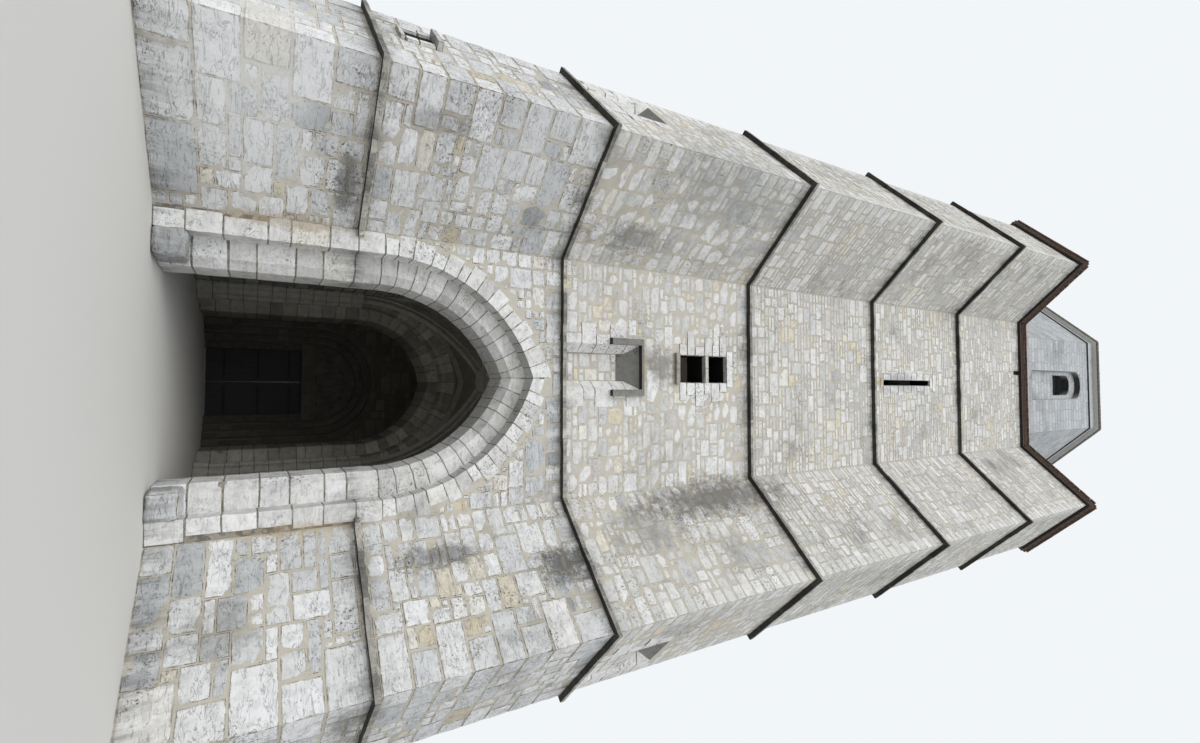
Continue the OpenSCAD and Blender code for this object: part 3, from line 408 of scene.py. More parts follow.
    patch = add(tree, "ShaderNodeTexNoise", {"Vector": place, "Scale": 1.1, "Detail": 4.0, "Roughness": 0.7})
    patch_mask = add(tree, "ShaderNodeValToRGB", [patch], [(0.48, 0.0), (0.60, 1.0)])
    speck = add(tree, "ShaderNodeTexNoise", {"Vector": place, "Scale": 24.0, "Detail": 6.0, "Roughness": 0.75})
    speck_mask = add(tree, "ShaderNodeValToRGB", [speck], [(0.54, 0.0), (0.60, 1.0)])
    grown = add(tree, "ShaderNodeMath", [patch_mask, speck_mask], operation="MULTIPLY")
    grown = add(tree, "ShaderNodeMath", [grown, lichen], operation="MULTIPLY")
    faced = add(tree, "ShaderNodeMix", [grown, faced, "#4a4946"], data_type="RGBA")
    if outdoors:
        faced = add(tree, "ShaderNodeGroup", {"Color": faced, "Crust": under_soot_and_shade}, node_tree=weather_and_shade)
    grain = add(tree, "ShaderNodeTexNoise", {"Vector": place, "Scale": 28.0, "Detail": 5.0, "Roughness": 0.7})
    relief = add(tree, "ShaderNodeMath", [pit, -0.8, grain], operation="MULTIPLY_ADD")
    relief = add(tree, "ShaderNodeMath", [crack, -1.0, relief], operation="MULTIPLY_ADD")
    bump = add(tree, "ShaderNodeBump", {"Strength": 0.7, "Distance": 0.012, "Height": relief})
    add(tree, shader, {"Base Color": faced, "Roughness": 0.88, "Specular IOR Level": 0.3, "Normal": bump})
    return material


# %% [markdown]
# One block, thousands of stones
#
# A wall of twenty thousand stones is one small block, repeated. Python lays out the courses, as a mason
# would, and keeps for each stone a place, a size, a turn about the vertical and a tone. Those become
# the points of a mesh, and a Geometry Nodes tree puts the block on each point, scales it, turns it,
# rounds its edges by the same few millimetres whatever its size, and roughens it. The rounding is
# stored on the block: each corner says which way it moves in.

# %% The blocks
HIDDEN_DEPTH = 0.03  # how far a stone reaches into the wall
BEVEL_SHARE = (0, 0, 0.45, 0.62)  # of the bevel, by how many outer faces a point lies on


def store(mesh, name, values):
    """Keeps a number or a vector for each point of a mesh."""
    if isinstance(values[0], float):
        mesh.attributes.new(name, "FLOAT", "POINT").data.foreach_set("value", values)
    else:
        mesh.attributes.new(name, "FLOAT_VECTOR", "POINT").data.foreach_set("vector", [c for v in values for c in v])


def block(name, cuts=0, back_sharp=False):
    """A cube of side 1 that faces -Y. Its attribute "inset" says where each corner moves for a bevel."""
    work = bmesh.new()
    bmesh.ops.create_cube(work, size=1.0)
    if cuts:
        bmesh.ops.subdivide_edges(work, edges=work.edges[:], cuts=cuts, use_grid_fill=True)
    mesh = bpy.data.meshes.new(name)
    work.to_mesh(mesh)
    work.free()
    insets = []
    for vertex in mesh.vertices:
        ends = [round(2 * c) if abs(abs(c) - 0.5) < 1e-4 else 0 for c in vertex.co]
        if back_sharp:
            front = vertex.co.y < 0
            insets.append((-ends[0] * front, 0, -ends[2] * front))
        else:
            insets.append([-e * BEVEL_SHARE[sum(abs(e) for e in ends)] for e in ends])
    store(mesh, "inset", insets)
    store(mesh, "corner", [tuple(vertex.co) for vertex in mesh.vertices])
    return bpy.data.objects.new(name, mesh)


rubble_block = block("rubble_block", back_sharp=True)
ashlar_block = block("ashlar_block", cuts=2)
worn_block = block("worn_block", cuts=1)
print("faces of the blocks", [len(b.data.polygons) for b in (rubble_block, worn_block, ashlar_block)])

# %% The stone-laying tree
laying, given = new_group("lay_stones", "GeometryNodeTree",
                          {"Points": "Geometry", "Block": "Object", "Bevel": "Float", "Roughness": "Float",
                           "Grain per metre": "Float", "Material": "Material"}, "Stones")
one = add(laying, "GeometryNodeObjectInfo", [given["Block"]]).outputs["Geometry"]
size = add(laying, "GeometryNodeInputNamedAttribute", ["size"], data_type="FLOAT_VECTOR")
turn = add(laying, "GeometryNodeInputNamedAttribute", ["turn"], data_type="FLOAT")
upright = add(laying, "ShaderNodeCombineXYZ", {"Z": turn})
stones = add(laying, "GeometryNodeInstanceOnPoints",
             {"Points": given["Points"], "Instance": one, "Rotation": upright, "Scale": size})
real = add(laying, "GeometryNodeRealizeInstances", [stones])
inset = add(laying, "GeometryNodeInputNamedAttribute", ["inset"], data_type="FLOAT_VECTOR")
inwards = add(laying, "ShaderNodeVectorMath", [inset, given["Bevel"]], operation="SCALE")
turned = add(laying, "ShaderNodeVectorRotate", {"Vector": inwards, "Angle": turn}, rotation_type="Z_AXIS")
noise = add(laying, "ShaderNodeTexNoise", {"Vector": add(laying, "GeometryNodeInputPosition"),
                                           "Scale": given["Grain per metre"], "Detail": 2.0}).outputs["Color"]
centred = add(laying, "ShaderNodeVectorMath", [noise, (0.5, 0.5, 0.5)], operation="SUBTRACT")
rough = add(laying, "ShaderNodeVectorMath", [centred, given["Roughness"]], operation="SCALE")
moved = add(laying, "ShaderNodeVectorMath", [turned, rough], operation="ADD")
shaped = add(laying, "GeometryNodeSetPosition", {"Geometry": real, "Offset": moved})
dressed = add(laying, "GeometryNodeSetMaterial", {"Geometry": shaped, "Material": given["Material"]})
add(laying, "NodeGroupOutput", [dressed])


# %% Points to stones
def keep(name, mesh, body):
    """Puts a finished mesh in the scene and on its body."""
    mesh.name = name
    piece = bpy.data.objects.new(name, mesh)
    bpy.context.scene.collection.objects.link(piece)
    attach(piece, body)
    print(name, sum(len(p.vertices) - 2 for p in mesh.polygons), "triangles")
    return piece


def grow(name, points, tree, inputs, body="tower"):
    """Runs a Geometry Nodes tree on points (place, size, turn, tone) and keeps the plain mesh."""
    places, sizes, turns, tones = zip(*points)
    mesh = bpy.data.meshes.new(name + "_points")
    mesh.from_pydata(places, [], [])
    store(mesh, "size", sizes)
    store(mesh, "turn", turns)
    store(mesh, "tone", tones)
    source = bpy.data.objects.new(name + "_source", mesh)
    bpy.context.scene.collection.objects.link(source)
    modifier = source.modifiers.new("grow", "NODES")
    modifier.node_group = tree
    for item in tree.interface.items_tree:
        if item.in_out == "INPUT" and item.name in inputs:
            modifier[item.identifier] = inputs[item.name]
    bpy.context.view_layer.update()
    evaluated = source.evaluated_get(bpy.context.evaluated_depsgraph_get())
    piece = keep(name, bpy.data.meshes.new_from_object(evaluated), body)
    bpy.data.objects.remove(source)
    return piece


def lay(name, stones, block, bevel, roughness, grain, material, slot, body="tower"):
    return grow(name, stones, laying, {"Block": block, "Bevel": bevel, "Roughness": roughness,
                                       "Grain per metre": grain, "Material": material}, body)


# %% [markdown]
# Laying courses
#
# A face of the wall is a start, a direction and a length, seen from outside. Its courses are the same
# heights as its neighbours', because masons carry a course round the whole tower. In each course stones
# of uneven length follow each other, some of them as high as two or three courses. At a free corner the
# long and short sides of the corner stones alternate. Openings are cut out as spans that depend on height.

# %% Faces and courses
SEED = 20
rng = random.Random(SEED)
field.seed_set(SEED)  # without it the roughness of the long stones would differ in each run
QUOIN_SHORT = 0.6  # short side of a corner stone, as a share of its long side
CELL = 0.04


class Face:
    """An upright face of masonry, seen from outside: its start, direction, length and kind."""

    def __init__(self, start, direction, length=0.0, kind=None, quarter=None):
        self.start, self.along = Vector(start), Vector(direction).normalized()
        self.out = Vector((self.along.y, -self.along.x, 0))
        self.turn = math.atan2(self.along.y, self.along.x)
        self.length, self.kind, self.quarter = length, kind, quarter

    def at(self, s, out=0.0, z=0.0):
        """The point s along the face and out in front of it, at height z."""
        return self.start + self.along * s + self.out * out + Vector((0, 0, z))

    def stone(self, s0, s1, z0, z1, out, back, tone):
        """One squared stone of the face, out in front of it and back into it."""
        middle = self.at((s0 + s1) / 2, (out - back) / 2, (z0 + z1) / 2)
        return tuple(middle), (s1 - s0, out + back, z1 - z0), self.turn, tone


def courses(low, high, mean, spread):
    """Heights of the bed joints between low and high."""
    heights = [low]
    while heights[-1] < high - 1.5 * mean:
        heights.append(heights[-1] + mean * (1 + spread * rng.uniform(-1, 1)))
    rest = high - heights[-1]
    if rest > 1.4 * mean:
        heights.append(heights[-1] + rest / 2)
    return heights + [high]


def spaced(low, high, mean, spread):
    """Joints between low and high, about mean apart."""
    count = max(1, round((high - low) / mean))
    inner = [low + (high - low) * (i + spread * rng.uniform(-0.5, 0.5)) / count for i in range(1, count)]
    return [low] + inner + [high]


def tones(low, high, drift=0.0):
    """A tint between low and high, warmer or greyer in broad patches."""
    def at(s, z):
        patch = field.noise(Vector((s * 0.6, z * 0.6, 7.0)))
        return min(1.0, max(0.0, rng.uniform(low, high) + drift * patch))
    return at


def snecked(face, rows, mean, stand, joint, tone, holes=(), ends=(0.0, 0.0), tall=(0.6, 0.3, 0.1), per_quoin=2):
    """Squared stones one to three rows high, fitted round each other. tall gives the shares of each,
    stand how far they stand out, and ends the room that the corner stones take."""
    columns = max(1, round(face.length / CELL))
    cell = face.length / columns
    taken = np.zeros((len(rows) - 1, columns), dtype=bool)
    centres = (np.arange(columns) + 0.5) * cell
    for row, (z0, z1) in enumerate(zip(rows, rows[1:])):
        left, right = (end * QUOIN_SHORT for end in ends)
        if (row // per_quoin) % 2:
            left = ends[0]
        else:
            right = ends[1]
        taken[row] |= (centres < left) | (centres > face.length - right)
        for gap in [hole(z0, z1) for hole in holes]:
            if gap:
                taken[row] |= (centres > gap[0]) & (centres < gap[1])
    found = []
    for row in range(len(rows) - 1):
        s = 0
        while s < columns:
            if taken[row, s]:
                s += 1
                continue
            free = s
            while free < columns and not taken[row, free]:
                free += 1
            high = min(rng.choices((1, 2, 3), tall)[0], len(rows) - 1 - row)
            height = rows[row + high] - rows[row]
            wide = max(3, round(mean * (0.55 + 0.45 * high) * rng.uniform(0.55, 1.5) / cell))
            wide = max(wide, round(0.8 * height / cell))
            if free - s - wide < 3:
                wide = free - s
            while high > 1 and (taken[row:row + high, s:s + wide].any() or wide * cell < 0.7 * height):
                high -= 1
                height = rows[row + high] - rows[row]
            taken[row:row + high, s:s + wide] = True
            gap, out = joint * rng.uniform(0.6, 1.5), stand * rng.uniform(0.5, 1.0)
            if wide * cell - gap > 0.03:
                z = rows[row] + height / 2
                found.append(face.stone(s * cell + gap / 2, (s + wide) * cell - gap / 2, rows[row] + gap / 2,
                                        rows[row + high] - gap / 2, out, HIDDEN_DEPTH,
                                        tone((s + wide / 2) * cell, z)))
            s += wide
    return found


def ashlar(face, beds, mean, tone, hole=None, stand=0.003, joint=0.006):
    """Sawn stones of nearly one length, in beds of nearly one height."""
    found = []
    for z0, z1 in zip(beds, beds[1:]):
        gap = hole and hole(z0, z1)
        for a, b in [(0.0, gap[0]), (gap[1], face.length)] if gap else [(0.0, face.length)]:
            if b - a < 0.05:
                continue
            joints = [a]
            while joints[-1] < b - 1.45 * mean:
                joints.append(joints[-1] + mean * (1 + 0.15 * rng.uniform(-1, 1)))
            joints.append(b)
            for s0, s1 in zip(joints, joints[1:]):
                for _ in range(2 if z1 - z0 > 0.17 else 1):
                    rng.random()  # not used here: it keeps every later stone as it was
                j, out = joint * rng.uniform(0.6, 1.4), stand * rng.uniform(0.55, 1.0)
                found.append(face.stone(s0 + j / 2, s1 - j / 2, z0 + j / 2, z1 - j / 2, out, HIDDEN_DEPTH,
                                        tone((s0 + s1) / 2, (z0 + z1) / 2)))
    return found


def corner_stones(face, beds, long_side, stand, joint, tone):
    """Corner stones where a face ends, long and short in turn along it."""
    found, end = [], face.length + stand
    for row, (z0, z1) in enumerate(zip(beds, beds[1:])):
        a, b = (side - joint + stand for side in (long_side, long_side * QUOIN_SHORT)[::-1 if row % 2 else 1])
        found.append(face.stone(end - a, end, z0 + joint / 2, z1 - joint / 2, stand, b - stand,
                                tone(0.0, (z0 + z1) / 2)))
    return found


# %% [markdown]
# The plan, as a list of faces
#
# Walked anticlockwise from the front, each quarter of the plan has a flat wall, then a diagonal
# buttress: flank, nose, flank. Every stage repeats the same sixteen faces, so they are listed once.

# %% Faces of the star
FLAT, FLANK, END, RETURN = range(4)
DIAGONAL = OUT / ROOT_HALF
FREE_ENDS = {FLAT: (0, 0), FLANK: (0, 1), END: (1, 1), RETURN: (1, 0)}  # where corner stones stand


def corner_push(before, after):
    """How far a point pushed out by 1 m slides along the face at the corner of two directions."""
    turn = math.atan2(before.x * after.y - before.y * after.x, before.dot(after))
    return math.tan(turn / 2)


star = []
for quarter in range(4):
    turn = Matrix.Rotation(quarter * math.pi / 2, 3, "Z")
    for kind, start, direction, length in (
            (FLAT, (-FOOT, -CORE, 0), (1, 0, 0), 2 * FOOT), (FLANK, (FOOT, -CORE, 0), (1, -1, 0), DIAGONAL),
            (END, (CORE, -NOSE, 0), (1, 1, 0), DIAGONAL), (RETURN, (NOSE, -CORE, 0), (-1, 1, 0), DIAGONAL)):
        star.append(Face(turn @ Vector(start), turn @ Vector(direction), length, kind, quarter))
for before, face, after in zip(star[-1:] + star[:-1], star, star[1:] + star[:1]):
    face.pushes = -corner_push(before.along, face.along), corner_push(face.along, after.along)
print("perimeter", round(sum(face.length for face in star), 2), "m")

# %% [markdown]
# Openings
#
# An opening is a middle along its face, a half width, a foot and a head. The courses leave room for it
# and for its dressed surround, which is laid later.


# %% Openings of the faces
class Opening(namedtuple("Opening", "middle half low high")):
    """A hole in a face, and how to keep the stones of a course out of it."""
    left = property(lambda self: self.middle - self.half)
    right = property(lambda self: self.middle + self.half)

    def room(self, aside, below, above):
        """The span to leave in a bed, with room for a surround."""
        return lambda z0, z1: ((self.left - aside, self.right + aside)
                               if z1 > self.low - below + 0.02 and z0 < self.high + above - 0.02 else None)


def arched(centre, half, offset, low, spring):
    """A pointed hole: upright up to the springing, then two arcs struck from past the middle."""
    radius = half + offset

    def at(z0, z1):
        rise = max(0.0, z0 - spring)
        if z1 <= low + 0.02 or rise >= radius:
            return None
        wide = math.sqrt(radius ** 2 - rise ** 2) - offset
        return (centre - wide, centre + wide) if wide > 0.02 else None

    return at


SQUINT = Opening(0.95, 0.17, 3.15, 3.62)
DOORWAY = Opening(CORE, 1.028, 0.0, 2.478)  # the splay at the back, as wide as it ends
WINDOW = Opening(FOOT - 0.25, 0.31, strings[2] - 2.15, strings[2] - 0.70)
NICHE = Opening(FOOT - 0.25, 0.465, strings[1] + STRING_H, strings[1] + STRING_H + 1.78)
SLIT = Opening(FOOT, 0.08, strings[3] + STRING_H + 0.48, strings[3] + STRING_H + 3.03)
BEAM_HOLE = Opening(FOOT - 0.43, 0.075, EAVES - 0.42, EAVES)
END_NICHES = [NICHE._replace(middle=DIAGONAL / 2 + 0.38 * side) for side in (1, -1, 1, -1)]
PARTY = 4  # stands for a quarter in the name of the party wall's face
arch_room = arched(FOOT, OUTER_HALF + 0.13, ARCH_CENTRE, 0.0, SPRING)
HOLES = {(0, FLAT, 0): [arch_room], (1, FLAT, 0): [arch_room], (1, END, 3): [SQUINT.room(0.16, 0.02, 0.16)],
         (0, FLAT, PARTY): [DOORWAY.room(0.01, 0.0, 0.34)],
         (2, FLAT, 0): [WINDOW.room(0.21, 0.13, 0.18), NICHE.room(0.195, 0.0, 0.12)],
         (4, FLAT, 0): [SLIT.room(0.18, 0.14, 0.2)], (5, FLAT, 0): [BEAM_HOLE.room(0.02, 0.03, 0.0)]}
HOLES.update({(2, END, quarter): [niche.room(0.195, 0.0, 0.12)] for quarter, niche in enumerate(END_NICHES)})

# %% Wall finishes
IVORY = [(0.0, "#b2b3b4"), (0.08, "#cbcbc9"), (0.3, "#dadad6"), (0.55, "#e8e7e3"), (0.8, "#f0f0ee"),
         (0.94, "#e3d8bf"), (1.0, "#d9d9da")]
SILVER = [(0.0, "#aeb0b1"), (0.07, "#c6c8c9"), (0.3, "#dadbdb"), (0.6, "#e9e9e8"), (0.88, "#f4f4f4"),
          (0.97, "#e4ddcc"), (1.0, "#d6ccb4")]
SAWN = [(0.0, "#acaeb0"), (0.5, "#bec1c3"), (1.0, "#cccfd0")]
RUBBLE_MORTAR = ("#bdb6a8", "#d3cec3")
ashlar_stone = stone_material("pitted_limestone_ashlar", SILVER, "#b9b2a3", "#cfcabd", smear=0.015, lichen=0.9,
                              cracks=0.6, joints=0.9)
rubble_stone = stone_material("squared_limestone_rubble", IVORY, *RUBBLE_MORTAR, smear=0.014, lichen=0.7, joints=0.6)
belfry_stone = stone_material("sawn_limestone", SAWN, "#a9abab", "#b9bbbb", smear=0.005, cracks=0.1, lichen=0.2,
                              under_soot_and_shade=1.0, joints=0.4)
mortar_finish = stone_material("lime_mortar", [(0.0, MORTAR)], *RUBBLE_MORTAR, smear=0.02, cracks=0.0, joints=0.0)

# %% [markdown]
# The lower stages: big worn blocks
#
# Near the ground the blocks are 30 to 45 cm high and up to a metre long. They are close to the eye, so
# each has its own worn corners: the block with two cuts a side, roughened by up to 17 mm. At the back
# the portal's wall closes the space between the buttresses, and its flat face is laid with the rest.

# %% Ground stage and porch stage stones
HIDDEN_FACES = [(1, RETURN), (2, FLAT), (2, FLANK)]
JOINED_ENDS = {(1, END): (1, 0), (2, END): (0, 1)}  # where the portal's wall meets a buttress
LOW_STAGES = [("ground", 0.0, strings[0], 0.165, 0.40, (0.22, 0.63, 0.15)),
              ("porch", strings[0] + STRING_H, strings[1], 0.145, 0.30, (0.30, 0.52, 0.18))]
LOW_CORNER = 0.78
party_face = Face((CORE, PARTY_WALL, 0), (-1, 0, 0), 2 * CORE, FLAT, PARTY)
near_blocks, near_corners = {}, []
for stage, (title, low, high, course, mean, tall) in enumerate(LOW_STAGES):
    near_blocks[title] = []
    rows = courses(low, high, course, 0.16)
    beds = rows[::3] if (len(rows) - 1) % 3 == 0 else rows[::3] + [rows[-1]]
    if beds[-1] - beds[-2] < 0.2:
        del beds[-2]
    for face in star + [party_face]:
        if (face.quarter, face.kind) in HIDDEN_FACES:
            continue
        free = JOINED_ENDS.get((face.quarter, face.kind), FREE_ENDS[face.kind])
        near_blocks[title] += snecked(face, rows, mean, 0.010, 0.013, tones(0.12, 0.97, 0.3),
                                      HOLES.get((stage, face.kind, face.quarter), ()),
                                      [LOW_CORNER * end for end in free], tall, per_quoin=3)
        if free[1]:
            near_corners += corner_stones(face, beds, LOW_CORNER, 0.013, 0.020, tones(0.3, 0.93, 0.2))
for title, found in near_blocks.items():
    lay(f"{title}_stage_stones", found, ashlar_block, 0.012, 0.034, 5.5, ashlar_stone, "rubble_limestone")
lay("lower_corner_stones", near_corners, ashlar_block, 0.014, 0.030, 5.5, ashlar_stone, "rubble_limestone")

# %% [markdown]
# The upper stages: small coursed rubble
#
# Above the porch the stones are small, 12 to 18 cm high, and far from the eye, so a block of eight
# corners is enough for each. Only those of the second stage, just over the arch, are rounder.

# %% Stones of stages two to five
far_blocks, far_corners = {}, []
for stage in (2, 3, 4, 5):
    far_blocks[stage] = []
    top = strings[stage] if stage < 5 else EAVES
    rows = courses(strings[stage - 1] + STRING_H, top, 0.125 if stage < 4 else 0.115, 0.16)
    beds = rows[::2] + ([rows[-1]] if len(rows) % 2 == 0 else [])
    corner = 0.5 if stage < 4 else 0.4
    for face in star:
        free = FREE_ENDS[face.kind]
        bright = tones(0.2, 0.97, 0.35) if face.kind in (FLAT, END) else tones(0.08, 0.8, 0.3)
        if stage == 2:
            tall = (0.5, 0.44, 0.06) if face.kind == FLAT else (0.24, 0.58, 0.18)
        else:
            tall = (0.72, 0.27, 0.01) if face.kind == FLAT else (0.6, 0.38, 0.02)
        far_blocks[stage] += snecked(face, rows, 0.27, 0.006 if stage == 2 else 0.004, 0.014, bright,
                                     HOLES.get((stage, face.kind, face.quarter), ()),
                                     [corner * end for end in free], tall)
        if free[1]:
            far_corners += corner_stones(face, beds, corner, 0.007, 0.014, tones(0.25, 0.85, 0.2))
for stage, found in far_blocks.items():
    block_look = (worn_block, 0.009, 0.014) if stage == 2 else (rubble_block, 0.010, 0.022)
    lay(f"stage_{stage}_stones", found, *block_look, 9.0, rubble_stone, "rubble_limestone")
lay("upper_corner_stones", far_corners, ashlar_block, 0.012, 0.016, 7.0, rubble_stone, "rubble_limestone")

# %% [markdown]
# The belfry: sawn ashlar
#
# The octagon is later work in smooth grey ashlar with tight joints. Each of its flat sides has a tall
# arched panel with the bell window in its upper half.

# %% Belfry stones
wall_low, wall_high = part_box("belfry_front_wall")
BELFRY, BELFRY_HALF, BELFRY_FOOT = wall_high.x, -wall_low.y, wall_low.z
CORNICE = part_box("belfry_cornice")[0].z
PANEL_HALF, PANEL_FOOT, PANEL_SPRING, PANEL_DEPTH = 0.60, 28.20, 32.50, 0.20
BELL_HALF, BELL_SILL, BELL_SPRING = 0.43, 30.76, 32.05
SLANT = (BELFRY_HALF - BELFRY) / ROOT_HALF
belfry_blocks = []
beds = courses(BELFRY_FOOT, CORNICE, 0.29, 0.08)
for quarter in range(4):
    turn = Matrix.Rotation(quarter * math.pi / 2, 3, "Z")
    flat = Face(turn @ Vector((-BELFRY, -BELFRY_HALF, 0)), turn @ Vector((1, 0, 0)), 2 * BELFRY)
    slant = Face(turn @ Vector((BELFRY, -BELFRY_HALF, 0)), turn @ Vector((1, 1, 0)), SLANT)
    panel = Face(flat.at(BELFRY - PANEL_HALF, -PANEL_DEPTH), flat.along, 2 * PANEL_HALF)
    belfry_blocks += ashlar(flat, beds, 0.5, tones(0.2, 0.9, 0.2),
                            arched(BELFRY, PANEL_HALF, 0.0, PANEL_FOOT, PANEL_SPRING))
    belfry_blocks += ashlar(slant, beds, 0.5, tones(0.2, 0.9, 0.2))
    rows = courses(PANEL_FOOT, PANEL_SPRING + PANEL_HALF, 0.29, 0.08)
    belfry_blocks += ashlar(panel, rows, 0.45, tones(0.3, 0.95, 0.2),
                            arched(PANEL_HALF, BELL_HALF, 0.0, BELL_SILL, BELL_SPRING))
lay("belfry_stones", belfry_blocks, rubble_block, 0.004, 0.003, 6.0, belfry_stone, "belfry_limestone")

# %% [markdown]
# Long stones with a profile
#
# String slabs, voussoirs and jamb blocks are all the same thing: a profile pushed along a path and cut
# into lengths by joints. One function makes such a block. It asks a place function where a point of the
# profile is at each distance along the path, so the path may be straight, mitred or an arc.


# %% Blocks along a path
def no_blocks():
    """Points, faces, tints, corners and sizes of blocks still to come."""
    return [], [], [], [], []


def push_block(parts, profile, place, u0, u1, joint, bevel, rough, tone=(0, 1), step=0.16, grain=6.0):
    """Adds a closed block from u0 to u1 along a path. place(u, a, b) gives a point."""
    verts, faces, tints, corners, sizes = parts
    middle = [sum(p[i] for p in profile) / len(profile) for i in (0, 1)]
    small = []
    for a, b in profile:
        away = math.hypot(a - middle[0], b - middle[1]) or 1.0
        small.append((a - (a - middle[0]) / away * bevel, b - (b - middle[1]) / away * bevel))
    start, end = u0 + joint / 2, u1 - joint / 2
    length = end - start - 2 * bevel
    count = max(1, round(length / step))
    inner = [start + bevel + length * i / count for i in range(count + 1)]
    rings = [(start, small)] + [(u, profile) for u in inner] + [(end, small)]
    first, n, tint = len(verts), len(profile), rng.uniform(*tone)
    for u, shape in rings:
        for a, b in shape:
            point = Vector(place(u, a, b))
            verts.append(point + field.noise_vector(point * grain) * rough)
            tints.append(tint)
            corners.append(((u - (u0 + u1) / 2) / (u1 - u0), 0.5, 0.0))
            sizes.append((u1 - u0, 1.0, 1.0))
    for ring in range(first, first + (len(rings) - 1) * n, n):
        faces.extend((ring + i, ring + (i + 1) % n, ring + n + (i + 1) % n, ring + n + i) for i in range(n))
    faces.append(tuple(range(first + n - 1, first - 1, -1)))
    faces.append(tuple(range(len(verts) - n, len(verts))))


def solid_piece(name, parts, material):
    """A plain mesh from closed blocks, with their tints, facing outwards."""
    verts, faces, tints, corners, sizes = parts
    mesh = bpy.data.meshes.new(name)
    mesh.from_pydata([tuple(v) for v in verts], [], faces)
    for title, values in (("tone", tints), ("corner", corners), ("size", sizes)):
        store(mesh, title, values)
    work = bmesh.new()
    work.from_mesh(mesh)
    bmesh.ops.recalc_face_normals(work, faces=work.faces[:])
    work.to_mesh(mesh)
    work.free()
    mesh.materials.append(material)
    return keep(name, mesh, "tower")


# %% [markdown]
# String courses
#
# Each string is a row of thin slabs with an upright edge and a sloped top that sheds the rain. At a
# corner one stone turns it, so the slab's profile is pushed along two sides of a mitre. The first
# string is broken by the arch and by the portal's wall.

# %% String slabs
STRING_TONES = [(0.0, "#8b8984"), (0.4, "#b4b1a9"), (0.8, "#c9c6bd"), (1.0, "#d5cfbf")]
string_stone = stone_material("weathered_limestone_slabs", STRING_TONES, smear=0.006, cracks=0.6, lichen=0.8,
                              under_soot_and_shade=1.0)
LIP = 0.008
string_profile = [(-0.03, -LIP), (STRING_OUT + LIP, -LIP), (STRING_OUT + LIP, STRING_FACE * 0.5),
                  (STRING_OUT + LIP, STRING_FACE + LIP), (STRING_OUT * 0.5, STRING_H - 0.03 + LIP),
                  (-0.03, STRING_H + LIP)]
for number, level in enumerate(strings, 1):
    parts = no_blocks()
    for face in star:
        if number == 1 and (face.quarter, face.kind) in HIDDEN_FACES + [(0, FLAT)]:
            continue
        cuts = spaced(0.0, face.length, 0.72, 0.5)
        for u0, u1 in zip(cuts, cuts[1:]):
            lift = rng.uniform(-0.003, 0.005)

            def on_string(u, a, b):
                t = (u - u0) / (u1 - u0)
                slide = (1 - t) * face.pushes[0] * (u0 == cuts[0]) + t * face.pushes[1] * (u1 == cuts[-1])
                return face.at(u + slide * a, a + lift, level + b + lift)

            push_block(parts, string_profile, on_string, u0, u1, 0.008, 0.006, 0.008, (0, 1), 0.2, 4.0)
    solid_piece(f"string_slabs_{number}", parts, string_stone)

# %% [markdown]
# The front arch
#
# Two orders of voussoirs. The outer one lies flush with the wall, with stones of uneven length, and its
# underside is the grey band round the arch. The inner one is set back and has a chamfer cut along its
# edge. Both are struck from points past the middle, so the arch comes to a blunt point.

# %% Voussoirs and jamb blocks of the front arch
DRESSED = [(0.0, "#c2c2c0"), (0.3, "#dbdad7"), (0.6, "#e9e8e5"), (0.9, "#f4f4f2"), (1.0, "#ddd5c2")]
dressed_stone = stone_material("dressed_limestone", DRESSED, "#958f83", "#aaa497", smear=0.010, lichen=0.8,
                               under_soot_and_shade=0.5, joints=0.6)
PROUD = 0.008


def arch_order(name, profile, offset, spring, reference, mean, joint, material, course=0.42,
               tone=(0.2, 0.95)):
    """A whole order: two half arches, struck past the middle by the offset, and their upright jambs.
    The profile is points (radius, depth), or a function that draws a new one for each stone."""
    parts = no_blocks()
    shape = profile if callable(profile) else lambda: profile
    for side in (-1, 1):
        cuts = spaced(0.0, math.acos(offset / reference) * reference, mean, 0.4)

        def on_arc(u, r, y):
            angle = u / reference
            if u > cuts[-2]:  # the last stone reaches the crown at every radius
                t = (u - cuts[-2]) / (cuts[-1] - cuts[-2])
                angle = cuts[-2] / reference + t * (math.acos(min(1.0, offset / r)) - cuts[-2] / reference)
            return side * max(r * math.cos(angle) - offset, 0.0), y, spring + r * math.sin(angle)

        for u0, u1 in zip(cuts, cuts[1:]):
            push_block(parts, shape(), on_arc, u0, u1, joint, 0.008, 0.008, tone, step=0.1)
        heights = spaced(0.0, spring, course, 0.35)
        for z0, z1 in zip(heights, heights[1:]):
            push_block(parts, shape(), lambda u, a, b: (side * (a - offset), b, u), z0, z1, joint * 1.4, 0.010,
                       0.012, tone, step=0.14)
    return solid_piece(name, parts, material)


outer_radius, recess_radius, arch_radius = (half + ARCH_CENTRE for half in (OUTER_HALF, RECESS_HALF, ARCH_HALF))


def outer_voussoir():
    end = outer_radius + rng.uniform(0.0, 0.17)
    return [(recess_radius - PROUD, FRONT - PROUD), (end, FRONT - PROUD), (end, FRONT + 0.05),
            (outer_radius - 0.05, INNER_Y), (recess_radius - PROUD, INNER_Y)]


inner_voussoir = [(recess_radius + 0.01, INNER_Y - PROUD), (arch_radius + CHAMFER, INNER_Y - PROUD),
                  (arch_radius - PROUD, INNER_Y + CHAMFER), (arch_radius - PROUD, INNER_BACK + 0.004),
                  (recess_radius + 0.01, INNER_BACK + 0.004)]
print("an outer voussoir reaches to a radius of", round(outer_voussoir()[1][0], 2), "m")
for title, profile, mean in (("outer", outer_voussoir, 0.24), ("inner", inner_voussoir, 0.29)):
    arch_order(f"front_{title}_voussoirs", profile, ARCH_CENTRE, SPRING, recess_radius, mean, 0.011,
               dressed_stone)

